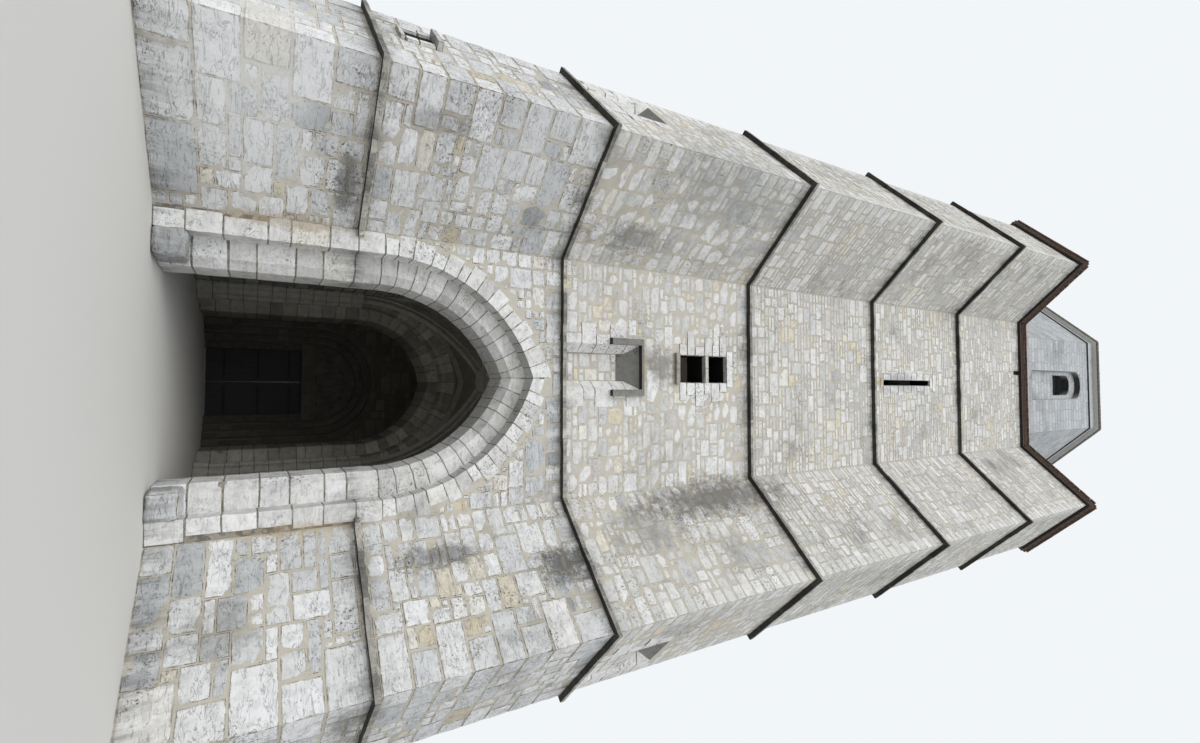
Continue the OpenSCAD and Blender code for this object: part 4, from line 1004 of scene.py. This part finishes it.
# %% [markdown]
# Roof tiles
#
# The roofs are laid with small flat clay tiles in bond, each overlapping the one below. A row starts at
# each eaves edge and climbs the slope. Whether a tile belongs there is asked of the solid roof itself:
# a ray from above has to meet it on the same slope. Seen from below, the tiles are dark and dusty on
# the skirt roof and bedded in pale mortar on the belfry.

# %% Tile finish
PALE_SOFFIT_FROM = 30.0
clay, tree, shader = new_material("weathered_clay_tile")
place = add(tree, "ShaderNodeTexCoord").outputs["Object"]
tone = add(tree, "ShaderNodeAttribute", attribute_name="tone").outputs["Fac"]
fired = add(tree, "ShaderNodeValToRGB", [tone], [(0.0, "#4f4038"), (0.35, "#6e5444"), (0.7, "#835f4a"),
                                                 (1.0, "#96735a")])
lichen = add(tree, "ShaderNodeTexNoise", {"Vector": place, "Scale": 3.0, "Detail": 6.0})
grown = add(tree, "ShaderNodeValToRGB", [lichen], [(0.55, 0.0), (0.7, 0.6)])
mixed = add(tree, "ShaderNodeMix", [grown, fired, "#77735f"], data_type="RGBA")
facing = add(tree, "ShaderNodeNewGeometry").outputs["Normal"]
lean = add(tree, "ShaderNodeSeparateXYZ", [facing]).outputs["Z"]
soffit = add(tree, "ShaderNodeMapRange", [lean, -0.7, -0.95, 0.0, 0.9])
level = add(tree, "ShaderNodeSeparateXYZ", [place]).outputs["Z"]
high_up = add(tree, "ShaderNodeMath", [level, PALE_SOFFIT_FROM], operation="GREATER_THAN")
soffit_tint = add(tree, "ShaderNodeMix", [high_up, "#6a5a52", "#c4c5c2"], data_type="RGBA")
mixed = add(tree, "ShaderNodeMix", [soffit, mixed, soffit_tint], data_type="RGBA")
grain = add(tree, "ShaderNodeTexNoise", {"Vector": place, "Scale": 60.0, "Detail": 3.0})
bump = add(tree, "ShaderNodeBump", {"Strength": 0.5, "Distance": 0.003, "Height": grain})
add(tree, shader, {"Base Color": mixed, "Roughness": 0.85, "Normal": bump})

# %% The tiling tree
tiling, given = new_group("lay_tiles", "GeometryNodeTree",
                          {"Points": "Geometry", "Tile length": "Float", "Tile width": "Float",
                           "Tile thickness": "Float", "Slope": "Float", "Seed": "Int", "Material": "Material"},
                          "Tiles")
tile_size = add(tiling, "ShaderNodeCombineXYZ", [given["Tile width"], given["Tile length"], given["Tile thickness"]])
tile = add(tiling, "GeometryNodeMeshCube", [tile_size])
turn = add(tiling, "GeometryNodeInputNamedAttribute", ["turn"], data_type="FLOAT")
skew = add(tiling, "FunctionNodeRandomValue", {2: -0.03, 3: 0.03, "Seed": given["Seed"]}, data_type="FLOAT")
slope = add(tiling, "ShaderNodeMath", [given["Slope"], skew], operation="ADD")
pose = add(tiling, "ShaderNodeCombineXYZ", [slope, skew, turn])
tiles = add(tiling, "GeometryNodeInstanceOnPoints", {"Points": given["Points"], "Instance": tile, "Rotation": pose})
real = add(tiling, "GeometryNodeRealizeInstances", [tiles])
fired = add(tiling, "GeometryNodeSetMaterial", {"Geometry": real, "Material": given["Material"]})
add(tiling, "NodeGroupOutput", [fired])

# %% Tiles on the two roofs
TILE_WIDTH, TILE_EXPOSURE, TILE_THICK, TILE_RISE = 0.19, 0.15, 0.018, 0.014
ROWS, COLUMNS = 60, 40


def tile_points(node):
    """Points in bond on each slope of a solid roof: {pitch: points}."""
    mesh = nodes[node].data
    mesh.calc_loop_triangles()
    surface = BVHTree.FromPolygons([v.co for v in mesh.vertices], [tuple(t.vertices) for t in mesh.loop_triangles])
    feet, planes, found = {}, {}, {}
    for polygon in mesh.polygons:
        if 0.5 < polygon.normal.z < 0.98:
            normal = polygon.normal.copy()
            key = tuple(round(c, 2) for c in normal)
            corners = [mesh.vertices[v].co for v in polygon.vertices]
            feet[key] = min([feet.get(key, 99.0)] + [corner.z for corner in corners])
            distance = normal.dot(corners[0])
            planes.setdefault((key, round(distance, 1)), [0.0, normal, distance])[0] += polygon.area
    for (key, _), (area, normal, distance) in planes.items():
        if area < 0.5:
            continue
        pitch = math.acos(normal.z)
        out = Vector((normal.x, normal.y, 0)).normalized()
        along = Vector((-out.y, out.x, 0))
        climb = Vector((-out.x * math.cos(pitch), -out.y * math.cos(pitch), math.sin(pitch)))
        base = out * ((distance - normal.z * feet[key]) / math.sin(pitch)) + Vector((0, 0, feet[key]))
        for row in range(ROWS):
            middle = base + climb * ((row + 0.5) * TILE_EXPOSURE)
            for column in range(-COLUMNS, COLUMNS + 1):
                point = middle + along * ((column + 0.5 * (row % 2)) * TILE_WIDTH)
                hit, slope, _, _ = surface.ray_cast(Vector((point.x, point.y, 60.0)), Vector((0, 0, -1)))
                if hit and abs(hit.z - point.z) < 0.03 and slope.dot(normal) > 0.99:
                    found.setdefault(round(pitch, 2), []).append(
                        (tuple(point + normal * TILE_RISE), (1, 1, 1), math.atan2(along.y, along.x),
                         rng.uniform(0, 1)))
    return found


for node, title in (("skirt_roof", "skirt_tiles"), ("belfry_roof", "belfry_tiles")):
    for number, (pitch, points) in enumerate(sorted(tile_points(node).items())):
        grow(f"{title}_{number + 1}", points, tiling,
             {"Tile length": TILE_EXPOSURE * 1.8, "Tile width": TILE_WIDTH - 0.006, "Tile thickness": TILE_THICK,
              "Slope": pitch - 0.07, "Seed": number, "Material": clay})

# %% Eaves tiles
eaves_out = (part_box("eaves_course")[1].x - NOSE) * ROOT_HALF
edge_tiles = []
for layer in range(2):
    z = EAVES_TOP - 0.028 - layer * 0.036
    out = eaves_out - layer * 0.02
    for face in star:
        s, end = out * face.pushes[0], face.length + out * face.pushes[1]
        while s < end - 0.03:
            wide = min(rng.uniform(0.17, 0.21), end - s)
            ahead = out + rng.uniform(0.0, 0.015)
            edge_tiles.append(face.stone(s + 0.003, s + wide - 0.003, z - 0.015, z + 0.015, ahead, 0.12 - ahead,
                                         rng.uniform(0, 1)))
            s += wide
lay("eaves_tiles", edge_tiles, rubble_block, 0.003, 0.005, 8.0, clay, "roof_tile")

# %% [markdown]
# Dressings of the openings
#
# Round each opening the mason set squared stones of the best white stone, long and short in turn, and
# they turn into the reveal. Behind them thin black plates line the reveal: painted shade for the dark inside.


# %% Stones round an opening
def quoins(face, opening, long, short, course, out, back, lap):
    """Stones up both sides of an opening, long and short in turn, lapping over its edge."""
    found = []
    for edge, side in ((opening.left, -1), (opening.right, 1)):
        beds = spaced(opening.low, opening.high, course, 0.3)
        for k, (z0, z1) in enumerate(zip(beds, beds[1:])):
            wide = (long if (k + (side > 0)) % 2 else short) * rng.uniform(0.8, 1.2)
            s0, s1 = sorted((edge - side * lap, edge + side * wide))
            found.append(face.stone(s0, s1, z0 + 0.005, z1 - 0.005, out, back, rng.uniform(0.4, 0.9)))
    return found


def lining(face, hole, near, far, thick=0.012):
    """Four thin plates on the sides of an opening, from one depth to another."""
    return [face.stone(*edges, -near, far, 0.5) for edges in (
        (hole.left, hole.left + thick, hole.low, hole.high), (hole.right - thick, hole.right, hole.low, hole.high),
        (hole.left, hole.right, hole.low, hole.low + thick), (hole.left, hole.right, hole.high - thick, hole.high))]


front = star[0]
TRANSOM = (WINDOW.low + 0.78, WINDOW.low + 0.88)
white_stones = quoins(front, WINDOW, 0.46, 0.24, 0.26, 0.016, 0.3, 0.006)
white_stones += [
    front.stone(WINDOW.left - 0.13, WINDOW.right + 0.10, WINDOW.high - 0.004, WINDOW.high + 0.2, 0.016, 0.3, 0.85),
    front.stone(WINDOW.left - 0.01, WINDOW.right + 0.01, TRANSOM[0] - 0.004, TRANSOM[1] + 0.004, 0.01, 0.4, 0.3)]
white_stones += quoins(front, SLIT, 0.30, 0.2, 0.36, 0.010, 0.3, 0.003)
for aside, z0, z1, out, tone in ((0.1, SLIT.high - 0.003, SLIT.high + 0.15, 0.012, 0.8),
                                 (0.2, SLIT.high + 0.155, SLIT.high + 0.33, 0.014, 0.9),
                                 (0.06, SLIT.low - 0.15, SLIT.low + 0.003, 0.012, 1.0)):
    white_stones.append(front.stone(SLIT.left - aside, SLIT.right + aside, z0, z1, out, 0.3, tone))
# Black plates in the reveals and in the beam hole are painted shade for the dark inside the openings.
painted_shade_plates = (lining(front, WINDOW._replace(high=TRANSOM[0]), 0.1, 0.6)
                + lining(front, WINDOW._replace(low=TRANSOM[1]), 0.1, 0.6) + lining(front, SLIT, 0.05, 0.6, 0.006))
painted_shade_plates.append(front.stone(BEAM_HOLE.left + 0.001, BEAM_HOLE.right - 0.001, BEAM_HOLE.low + 0.002,
                                BEAM_HOLE.high - 0.002, -0.05, 0.1, 0.5))
white_stones += quoins(party_face, DOORWAY, 0.40, 0.26, 0.3, 0.014, 0.05, -0.014)
head_joints = spaced(DOORWAY.left - 0.3, DOORWAY.right + 0.3, 0.42, 0.2)
white_stones += [party_face.stone(s0 + 0.005, s1 - 0.005, DOORWAY.high + 0.003, DOORWAY.high + 0.33, 0.014, 0.05,
                                  rng.uniform(0.4, 0.9)) for s0, s1 in zip(head_joints, head_joints[1:])]

# %% Bell louvres
slate = stone_material("weathered_slate", [(0.0, "#3a3c3f"), (1.0, "#55585b")], "#3f4144", "#4a4c4e", smear=0.004,
                       cracks=0.3, lichen=0.2)
LOUVRE_DEPTH, LOUVRE_SIZE, LOUVRE_THICK, LOUVRE_STEP = 0.38, 0.13, 0.02, 0.12
louvres = no_blocks()
for quarter in range(4):
    turn = Matrix.Rotation(quarter * math.pi / 2, 3, "Z")
    z = BELL_SILL + 0.03
    while z < BELL_SPRING + BELL_HALF - 0.16:
        rise = max(0.0, z + LOUVRE_SIZE - BELL_SPRING)
        half = math.sqrt(BELL_HALF ** 2 - rise ** 2) - 0.004
        slat = [(LOUVRE_DEPTH, z), (LOUVRE_DEPTH, z + LOUVRE_THICK),
                (LOUVRE_DEPTH + LOUVRE_SIZE, z + LOUVRE_SIZE),
                (LOUVRE_DEPTH + LOUVRE_SIZE, z + LOUVRE_SIZE - LOUVRE_THICK)]
        push_block(louvres, slat, lambda u, a, b: turn @ Vector((u, -BELFRY_HALF + a, b)), -half, half, 0.0, 0.001,
                   0.002, (0, 1), step=0.3)
        z += LOUVRE_STEP
solid_piece("bell_louvres", louvres, slate)

# %% The small hooded window on the left buttress
squint_face = next(face for face in star if (face.kind, face.quarter) == (END, 3))
white_stones += quoins(squint_face, SQUINT, 0.2, 0.14, 0.24, 0.05, 0.02, 0.0)
white_stones += [
    squint_face.stone(SQUINT.left - 0.16, SQUINT.right + 0.16, SQUINT.high, SQUINT.high + 0.10, 0.15, 0.02, 0.1),
    squint_face.stone(SQUINT.left - 0.10, SQUINT.right + 0.10, SQUINT.low - 0.08, SQUINT.low, 0.06, 0.02, 0.3)]
# A black plate fills the small window as painted shade.
painted_shade_plates.append(squint_face.stone(SQUINT.left, SQUINT.right, SQUINT.low, SQUINT.high, 0.006, 0.02, 0.5))

# %% [markdown]
# Niches
#
# Over the arch and on the end of each buttress is a niche with splayed jambs and a sloping head, black
# with rain. The ones on the buttresses were blocked with rubble long ago.

# %% Niches
NICHE_HALF, NICHE_SPLAY, NICHE_DEPTH, NICHE_DROP = 0.295, 0.18, 0.26, 0.42
FILL_HIGH, FILL_BACK = 1.12, 0.05
jambs, fills, heads = no_blocks(), [], no_blocks()
end_faces = [face for face in star if face.kind == END]
for face, niche, filled in [(front, NICHE, False)] + [(face, END_NICHES[face.quarter], True) for face in end_faces]:
    for side in (-1, 1):
        beds = spaced(NICHE.low, NICHE.high, 0.34, 0.3)
        for k, (z0, z1) in enumerate(zip(beds, beds[1:])):
            wide = (0.36 if (k + (side > 0)) % 2 else 0.17) * rng.uniform(0.85, 1.15)
            jamb = [(NICHE.half + wide, 0.014), (NICHE.half - 0.004, 0.014), (NICHE_HALF - 0.008, -NICHE_SPLAY),
                    (NICHE_HALF - 0.008, -NICHE_DEPTH), (NICHE.half, -NICHE_DEPTH), (NICHE.half + wide, -0.06)]
            push_block(jambs, jamb, lambda u, a, b: face.at(niche.middle + side * a, b, u), z0, z1, 0.008, 0.006,
                       0.008, (0.45, 0.95), step=0.2)
    slope_foot = NICHE.high - NICHE_DROP
    head = [(0.004, NICHE.high - 0.006), (-NICHE_DEPTH, slope_foot - 0.008), (-NICHE_DEPTH, slope_foot + 0.15),
            (0.004, NICHE.high + 0.02)]
    push_block(heads, head, lambda u, a, b: face.at(u, a, b), niche.left, niche.right, 0.002, 0.002, 0.004,
               (0.0, 0.6), step=0.2)
    back = Face(face.at(niche.middle - NICHE_HALF, -NICHE_DEPTH), face.along, 2 * NICHE_HALF)
    fills += snecked(back, courses(NICHE.low, slope_foot, 0.15, 0.2), 0.22, 0.005, 0.016, tones(0.1, 0.9, 0.3))
    if filled:
        fill = Face(face.at(niche.left + 0.01, -FILL_BACK), face.along, 2 * NICHE.half - 0.02)
        rows = courses(NICHE.low, NICHE.low + FILL_HIGH, 0.26, 0.2)
        fills += snecked(fill, rows, 0.4, 0.006, 0.012, tones(0.4, 0.95, 0.3))
sooty_stone = stone_material("sooty_limestone", [(0.0, "#767573"), (0.5, "#8f8e8a"), (1.0, "#aaa8a3")], "#6b6963",
                             "#7f7c75", smear=0.006, cracks=0.4, lichen=0.8)
# The near-black finish of those plates is painted shade.
painted_shade_black = stone_material("painted_shade_black_reveal", [(0.0, "#0b0b0b")], smear=0.0, cracks=0.0, lichen=0.0)
solid_piece("niche_jambs", jambs, dressed_stone)
solid_piece("niche_heads", heads, sooty_stone)
lay("niche_filling", fills, rubble_block, 0.006, 0.010, 9.0, rubble_stone, "rubble_limestone")
lay("opening_quoins", white_stones, ashlar_block, 0.008, 0.012, 7.0, dressed_stone, "dressed_limestone")
lay("black_reveals", painted_shade_plates, rubble_block, 0.0, 0.0, 6.0, painted_shade_black, "rubble_limestone")

# %% [markdown]
# Guard stones
#
# At the foot of each jamb a rough block keeps cart wheels off the arch. Years of knocks have rounded it.
# It is the same block as the others, cut finer, with a broad rounding and a deep, slow roughness.

# %% Guard stones
boulder = block("boulder_block", cuts=6)
guard_low, guard_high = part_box("guard_stones")
wide = guard_high.x - ARCH_HALF
guards = [((side * (ARCH_HALF + wide / 2), (guard_low.y + guard_high.y) / 2, guard_high.z / 2),
           (wide, guard_high.y - guard_low.y, guard_high.z), 0.0, 0.12 + 0.1 * side) for side in (-1, 1)]
guard_blocks = lay("guard_blocks", guards, boulder, 0.05, 0.10, 4.0, ashlar_stone, "dressed_limestone")
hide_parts("guard_stones")

# %% [markdown]
# Inside the porch
#
# The porch walls are of the same squared stone, but never washed by rain: brown-grey, dry and dark.
# The rear arch has two chamfered orders and leads to the round-headed portal, whose three orders each
# carry a roll along their edge.

# %% Porch masonry
PORCH = [(0.0, "#7d7b74"), (0.35, "#a5a299"), (0.75, "#c0bdb3"), (1.0, "#cfcabd")]
UNLIT = [(0.0, "#4a4843"), (0.35, "#55534d"), (0.75, "#625f58"), (1.0, "#6c6960")]
porch_stone = stone_material("sheltered_limestone", PORCH, "#6b665b", "#8a8477", smear=0.012, outdoors=False)
drum_stone = stone_material("sheltered_limestone_drums", [(0.0, "#b3b0a7")], smear=0.0, cracks=0.1, drum=0.31,
                            outdoors=False)
web_stone = stone_material("vault_web_courses", [(0.0, "#8f8a80")], smear=0.0, cracks=0.1, lichen=0.7, drum=0.17,
                           outdoors=False)
portal_stone = stone_material("unlit_limestone", UNLIT, "#4c4942", "#5a564e", smear=0.010, lichen=0.5,
                              outdoors=False)
arch_low, arch_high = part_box("rear_arch_outer_order")
ROOM, REAR_SPRING, REAR_STEP = arch_low.y, arch_low.z, arch_high.y
REAR_HALF, REAR_OUTER_HALF, REAR_CENTRE, REAR_CHAMFER = 1.77, 2.07, 0.245, 0.07
PORTAL_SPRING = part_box("portal_tympanum")[0].z
PORTAL_R, PORTAL_ORDER, PORTAL_STEP = 1.75, 0.20, 0.17
rows = courses(0.0, strings[1] - 0.2, 0.15, 0.16)
porch_blocks = []
for side in (-1, 1):
    wall = Face((side * ROOM, side * ROOM, 0), (0, -side, 0), 2 * ROOM)
    porch_blocks += snecked(wall, rows, 0.36, 0.008, 0.016, tones(0.1, 0.9, 0.4), (), (0.3, 0.3), (0.25, 0.6, 0.15))
lay("porch_wall_stones", porch_blocks, rubble_block, 0.008, 0.014, 7.0, porch_stone, "porch_limestone")
portal_face = Face((-REAR_HALF, CORE, 0), (1, 0, 0), 2 * REAR_HALF)
portal_blocks = snecked(portal_face, rows, 0.3, 0.006, 0.014, tones(0.0, 0.8, 0.4),
                        [arched(REAR_HALF, PORTAL_R, 0.0, 0.0, PORTAL_SPRING)], tall=(0.4, 0.5, 0.1))
lay("portal_wall_stones", portal_blocks, rubble_block, 0.008, 0.014, 7.0, portal_stone, "porch_limestone")

for title, half, y, wide, back in (("outer", REAR_OUTER_HALF, ROOM, 0.32, REAR_STEP),
                                   ("inner", REAR_HALF, REAR_STEP, 0.31, CORE - 0.01)):
    radius = half + REAR_CENTRE
    chamfered = [(radius - PROUD, y + REAR_CHAMFER), (radius + REAR_CHAMFER, y - PROUD), (radius + wide, y - PROUD),
                 (radius + wide, y + 0.1), (radius + 0.02, back), (radius - PROUD, back)]
    arch_order(f"rear_{title}_voussoirs", chamfered, REAR_CENTRE, REAR_SPRING, radius, 0.26, 0.012, porch_stone,
               course=0.30)

# %% Portal orders
ROLL_R, ROLL_SIDES = 0.036, 10
for k, title in enumerate(("outer", "middle", "inner")):
    radius, face = PORTAL_R - (k + 1) * PORTAL_ORDER, CORE + k * PORTAL_STEP
    stepped = [(radius - 0.006, face + 0.06), (radius + 0.06, face - 0.006),
               (radius + PORTAL_ORDER - 0.02, face - 0.006), (radius + PORTAL_ORDER - 0.02, face + 0.08),
               (radius - 0.006, face + PORTAL_STEP - 0.004)]
    arch_order(f"portal_{title}_voussoirs", stepped, 0.0, PORTAL_SPRING, radius, 0.3, 0.008, portal_stone,
               course=0.34, tone=(0.0, 0.6))
    roll = [(radius + 0.035 + ROLL_R * math.cos(a), face + 0.03 + ROLL_R * math.sin(a))
            for a in (math.pi * 2 * i / ROLL_SIDES for i in range(ROLL_SIDES))]
    arch_order(f"portal_{title}_roll", roll, 0.0, PORTAL_SPRING, radius, 0.6, 0.006, portal_stone,
               course=1.35, tone=(0.2, 0.7))

# %% [markdown]
# The tympanum's carving
#
# Over the doors a seated figure in an almond-shaped frame stands between others, too worn and too dark
# to tell more. The relief is a fan of points on a half disc, pushed out by rounded forms.

# %% Tympanum relief
TYMPANUM_R = PORTAL_R - 3 * PORTAL_ORDER
TYMPANUM_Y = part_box("portal_tympanum")[0].y
RINGS, SPOKES = 44, 110
FIGURES = [(0.0, 0.42, 0.17, 0.27, 0.075), (0.0, 0.78, 0.075, 0.095, 0.075), (-0.08, 0.24, 0.08, 0.13, 0.085),
           (0.08, 0.24, 0.08, 0.13, 0.085), (0.0, 0.12, 0.2, 0.06, 0.045)]  # place, two radii and height
for side in (-1, 1):
    FIGURES += [(side * 0.55, 0.36, 0.11, 0.27, 0.055), (side * 0.50, 0.68, 0.062, 0.08, 0.06),
                (side * 0.82, 0.22, 0.1, 0.2, 0.05), (side * 0.78, 0.46, 0.058, 0.072, 0.055),
                (side * 0.43, 0.5, 0.13, 0.05, 0.045), (side * 0.66, 0.1, 0.12, 0.05, 0.04)]


def relief_height(x, z):
    """How far the carving stands out at a point: figures with folds of cloth, an almond frame and a rim."""
    out = 0.004
    for cx, cz, rx, rz, high in FIGURES:
        d = ((x - cx) / rx) ** 2 + ((z - cz) / rz) ** 2
        if d < 1:
            out = max(out, high * math.sqrt(1 - d) + 0.004 * math.sin(70 * (x - cx) + 20 * z) * (1 - d))
    almond = math.hypot(abs(x) + 0.25, (z - 0.5) * 0.98) - 0.56
    rim = math.hypot(x, z) - (TYMPANUM_R - 0.07)
    beads = 0.75 + 0.25 * math.sin(34 * math.atan2(z, x))
    return max(out, 0.035 * max(0.0, 1 - (almond / 0.028) ** 2), 0.03 * beads * max(0.0, 1 - (rim / 0.03) ** 2))


verts, faces, tints, corners, sizes = parts = no_blocks()
for i in range(RINGS + 1):
    for j in range(SPOKES + 1):
        radius, angle = (TYMPANUM_R - 0.006) * (i + 0.02) / (RINGS + 0.02), math.pi * j / SPOKES
        x, z = radius * math.cos(angle), radius * math.sin(angle)
        out = relief_height(x, z) if 0 < i < RINGS and 0 < j < SPOKES else 0.002
        verts.append((x, TYMPANUM_Y - out, PORTAL_SPRING + z))
        tints.append(0.35 + 0.3 * field.noise(Vector((4 * x, 0, 4 * z))))
        corners.append((0.0, 0.0, 0.0))
        sizes.append((9.0, 9.0, 9.0))
        if i < RINGS and j < SPOKES:
            first = i * (SPOKES + 1) + j
            faces.append((first, first + SPOKES + 1, first + SPOKES + 2, first + 1))
relief = solid_piece("tympanum_relief", parts, portal_stone)
if relief.data.polygons[0].normal.y > 0:
    relief.data.flip_normals()
lintel_low, lintel_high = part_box("portal_lintel")
lintel_face = Face((-TYMPANUM_R, lintel_low.y, 0), (1, 0, 0))
lintel = [lintel_face.stone(s0 + 0.004, s1 - 0.004, lintel_low.z + 0.004, lintel_high.z - 0.05, 0.006, 0.05,
                            rng.uniform(0.1, 0.6)) for s0, s1 in ((0, 0.72), (0.72, 1.5), (1.5, 2.3))]
lintel.append(lintel_face.stone(0.0, 2 * TYMPANUM_R, lintel_high.z - 0.045, lintel_high.z, 0.03, 0.05, 0.6))
lay("lintel_stones", lintel, ashlar_block, 0.006, 0.004, 8.0, portal_stone, "porch_limestone")

# %% [markdown]
# Door leaves
#
# The two leaves are of upright oak boards under blue-black paint, with rows of square-headed nails and
# three long iron straps. Behind the meeting edges a thin strip of each leaf closes most of the gap.


# %% Paint, iron and oak
def door_finish(name, base, worn, rough, metal=0.0):
    """Paint or iron on a door: worn lighter in upright streaks."""
    material, tree, shader = new_material(name)
    place = add(tree, "ShaderNodeTexCoord").outputs["Object"]
    long = add(tree, "ShaderNodeVectorMath", [place, (40.0, 40.0, 2.5)], operation="MULTIPLY")
    fibre = add(tree, "ShaderNodeTexNoise", {"Vector": long, "Scale": 1.0, "Detail": 6.0, "Roughness": 0.7})
    mask = add(tree, "ShaderNodeValToRGB", [fibre], [(0.45, 0.0), (0.75, 1.0)])
    mixed = add(tree, "ShaderNodeMix", [mask, base, worn], data_type="RGBA")
    bump = add(tree, "ShaderNodeBump", {"Strength": 0.5, "Distance": 0.002, "Height": fibre})
    add(tree, shader, {"Base Color": mixed, "Roughness": rough, "Metallic": metal, "Normal": bump})
    return material


paint = door_finish("blue_black_door_paint", "#07090c", "#12171c", 0.65)
iron = door_finish("wrought_iron", "#0d0d0f", "#1f1d1c", 0.7, 0.3)
oak = door_finish("old_oak_boards", "#5b4632", "#7c6249", 0.75)

# %% Boards, straps and nails
head_mesh = bpy.data.meshes.new("nail_head")
work = bmesh.new()
bmesh.ops.create_cone(work, segments=8, radius1=0.5, radius2=0.22, depth=1.0, cap_ends=True,
                      matrix=Matrix.Rotation(math.pi / 2, 4, "X"))
work.to_mesh(head_mesh)
work.free()
for name in ("inset", "corner"):
    head_mesh.attributes.new(name, "FLOAT_VECTOR", "POINT")
nail_head = bpy.data.objects.new("nail_head", head_mesh)
leaf_low, leaf_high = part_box("right_door_leaf")
LEAF_FRONT, LEAF_BACK = 4.933, 5.013
DOOR_HALF, DOOR_TOP, BOARDS = 0.95, 2.40, 6
STRAP_LEVELS = (0.45, 1.28, 2.08)
NAIL_LEVELS = [level + d for level in STRAP_LEVELS for d in (-0.12, 0.12)] + [0.12, 0.86, 1.66, 2.30]
leaf_front, leaf_back = (Face((0, y, 0), (1, 0, 0)) for y in (LEAF_FRONT, LEAF_BACK))
edges = [0.010 + (DOOR_HALF - 0.018) * i / BOARDS for i in range(BOARDS + 1)]
for side, body in ((-1, "left_door"), (1, "right_door")):
    boards, straps, nails = [], [], []
    for a, b in zip(edges, edges[1:]):
        s0, s1 = sorted((side * (a + 0.003), side * (b - 0.003)))
        boards.append(leaf_front.stone(s0, s1, leaf_low.z + 0.006, DOOR_TOP - 0.012, 0.010, 0.01, rng.uniform(0, 1)))
        for z in NAIL_LEVELS:
            nails.append(((side * (a + b) / 2, LEAF_FRONT - 0.014, z), (0.030, 0.012, 0.030), 0.0, 0.5))
    for z in STRAP_LEVELS:
        s0, s1 = sorted((side * 0.10, side * 0.935))
        straps.append(leaf_front.stone(s0, s1, z - 0.032, z + 0.032, 0.016, 0.0, 0.5))
        for i in range(9):
            nails.append(((side * (0.14 + 0.095 * i), LEAF_FRONT - 0.020, z), (0.024, 0.012, 0.024), 0.0, 0.5))
    s0, s1 = sorted((side * 0.0004, side * 0.06))
    strip = leaf_back.stone(s0, s1, leaf_low.z + 0.004, leaf_high.z - 0.004, -0.0005, 0.0115, 0.5)
    lay(f"{body}_boards", boards, ashlar_block, 0.004, 0.0, 6.0, paint, "door_paint", body)
    lay(f"{body}_straps", straps, ashlar_block, 0.004, 0.001, 9.0, iron, "wrought_iron", body)
    lay(f"{body}_nails", nails, nail_head, 0.0, 0.0, 9.0, iron, "wrought_iron", body)
    lay(f"{body}_meeting_strip", [strip], rubble_block, 0.0, 0.0, 6.0, paint, "door_paint", body)

# %% [markdown]
# The solid nodes
#
# Between the stones the frame's own solids show, as mortar. Those that no stone covers, such as ribs,
# shafts, the sill, the hood and the frieze, get a stone of their own.

# %% Finishes of the solid nodes
frieze_stone = stone_material("frieze_limestone", [(0.0, "#c4c6c6")], smear=0.0, cracks=0.1, lichen=0.4, under_soot_and_shade=1.0)
sill_stone = stone_material("spotted_sill", [(0.0, "#aaa79d")], smear=0.0, cracks=0.4, lichen=1.0, under_soot_and_shade=0.35)
hood_stone = stone_material("rain_washed_hood", [(0.0, "#8d8b86")], smear=0.0, cracks=0.4, lichen=0.9, under_soot_and_shade=1.0)
eaves_mortar = stone_material("eaves_bedding", [(0.0, "#7d6c63")], smear=0.0, cracks=0.0, lichen=0.8, under_soot_and_shade=1.0)
FINISH = [("string_", string_stone), ("vault_web", web_stone), ("vault_", drum_stone), ("rear_", web_stone),
          ("portal_wall", mortar_finish), ("portal_", portal_stone),
          ("upper_floor", porch_stone), ("front_arch_", dressed_stone), ("guard_stones", dressed_stone),
          ("window_sill", sill_stone), ("niche_hood", hood_stone), ("belfry_cornice", frieze_stone),
          ("belfry_floor", oak), ("belfry_roof", clay), ("belfry_", belfry_stone), ("eaves_course", eaves_mortar),
          ("skirt_roof", clay), ("door_pintles", iron), ("left_door", paint), ("right_door", paint),
          ("", mortar_finish)]
for name, node in nodes.items():
    node.data.materials.clear()
    node.data.materials.append(next(material for start, material in FINISH if name.startswith(start)))

# %% Sizes
low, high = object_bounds()
print("visual size", tuple(round(s, 3) for s in high - low))
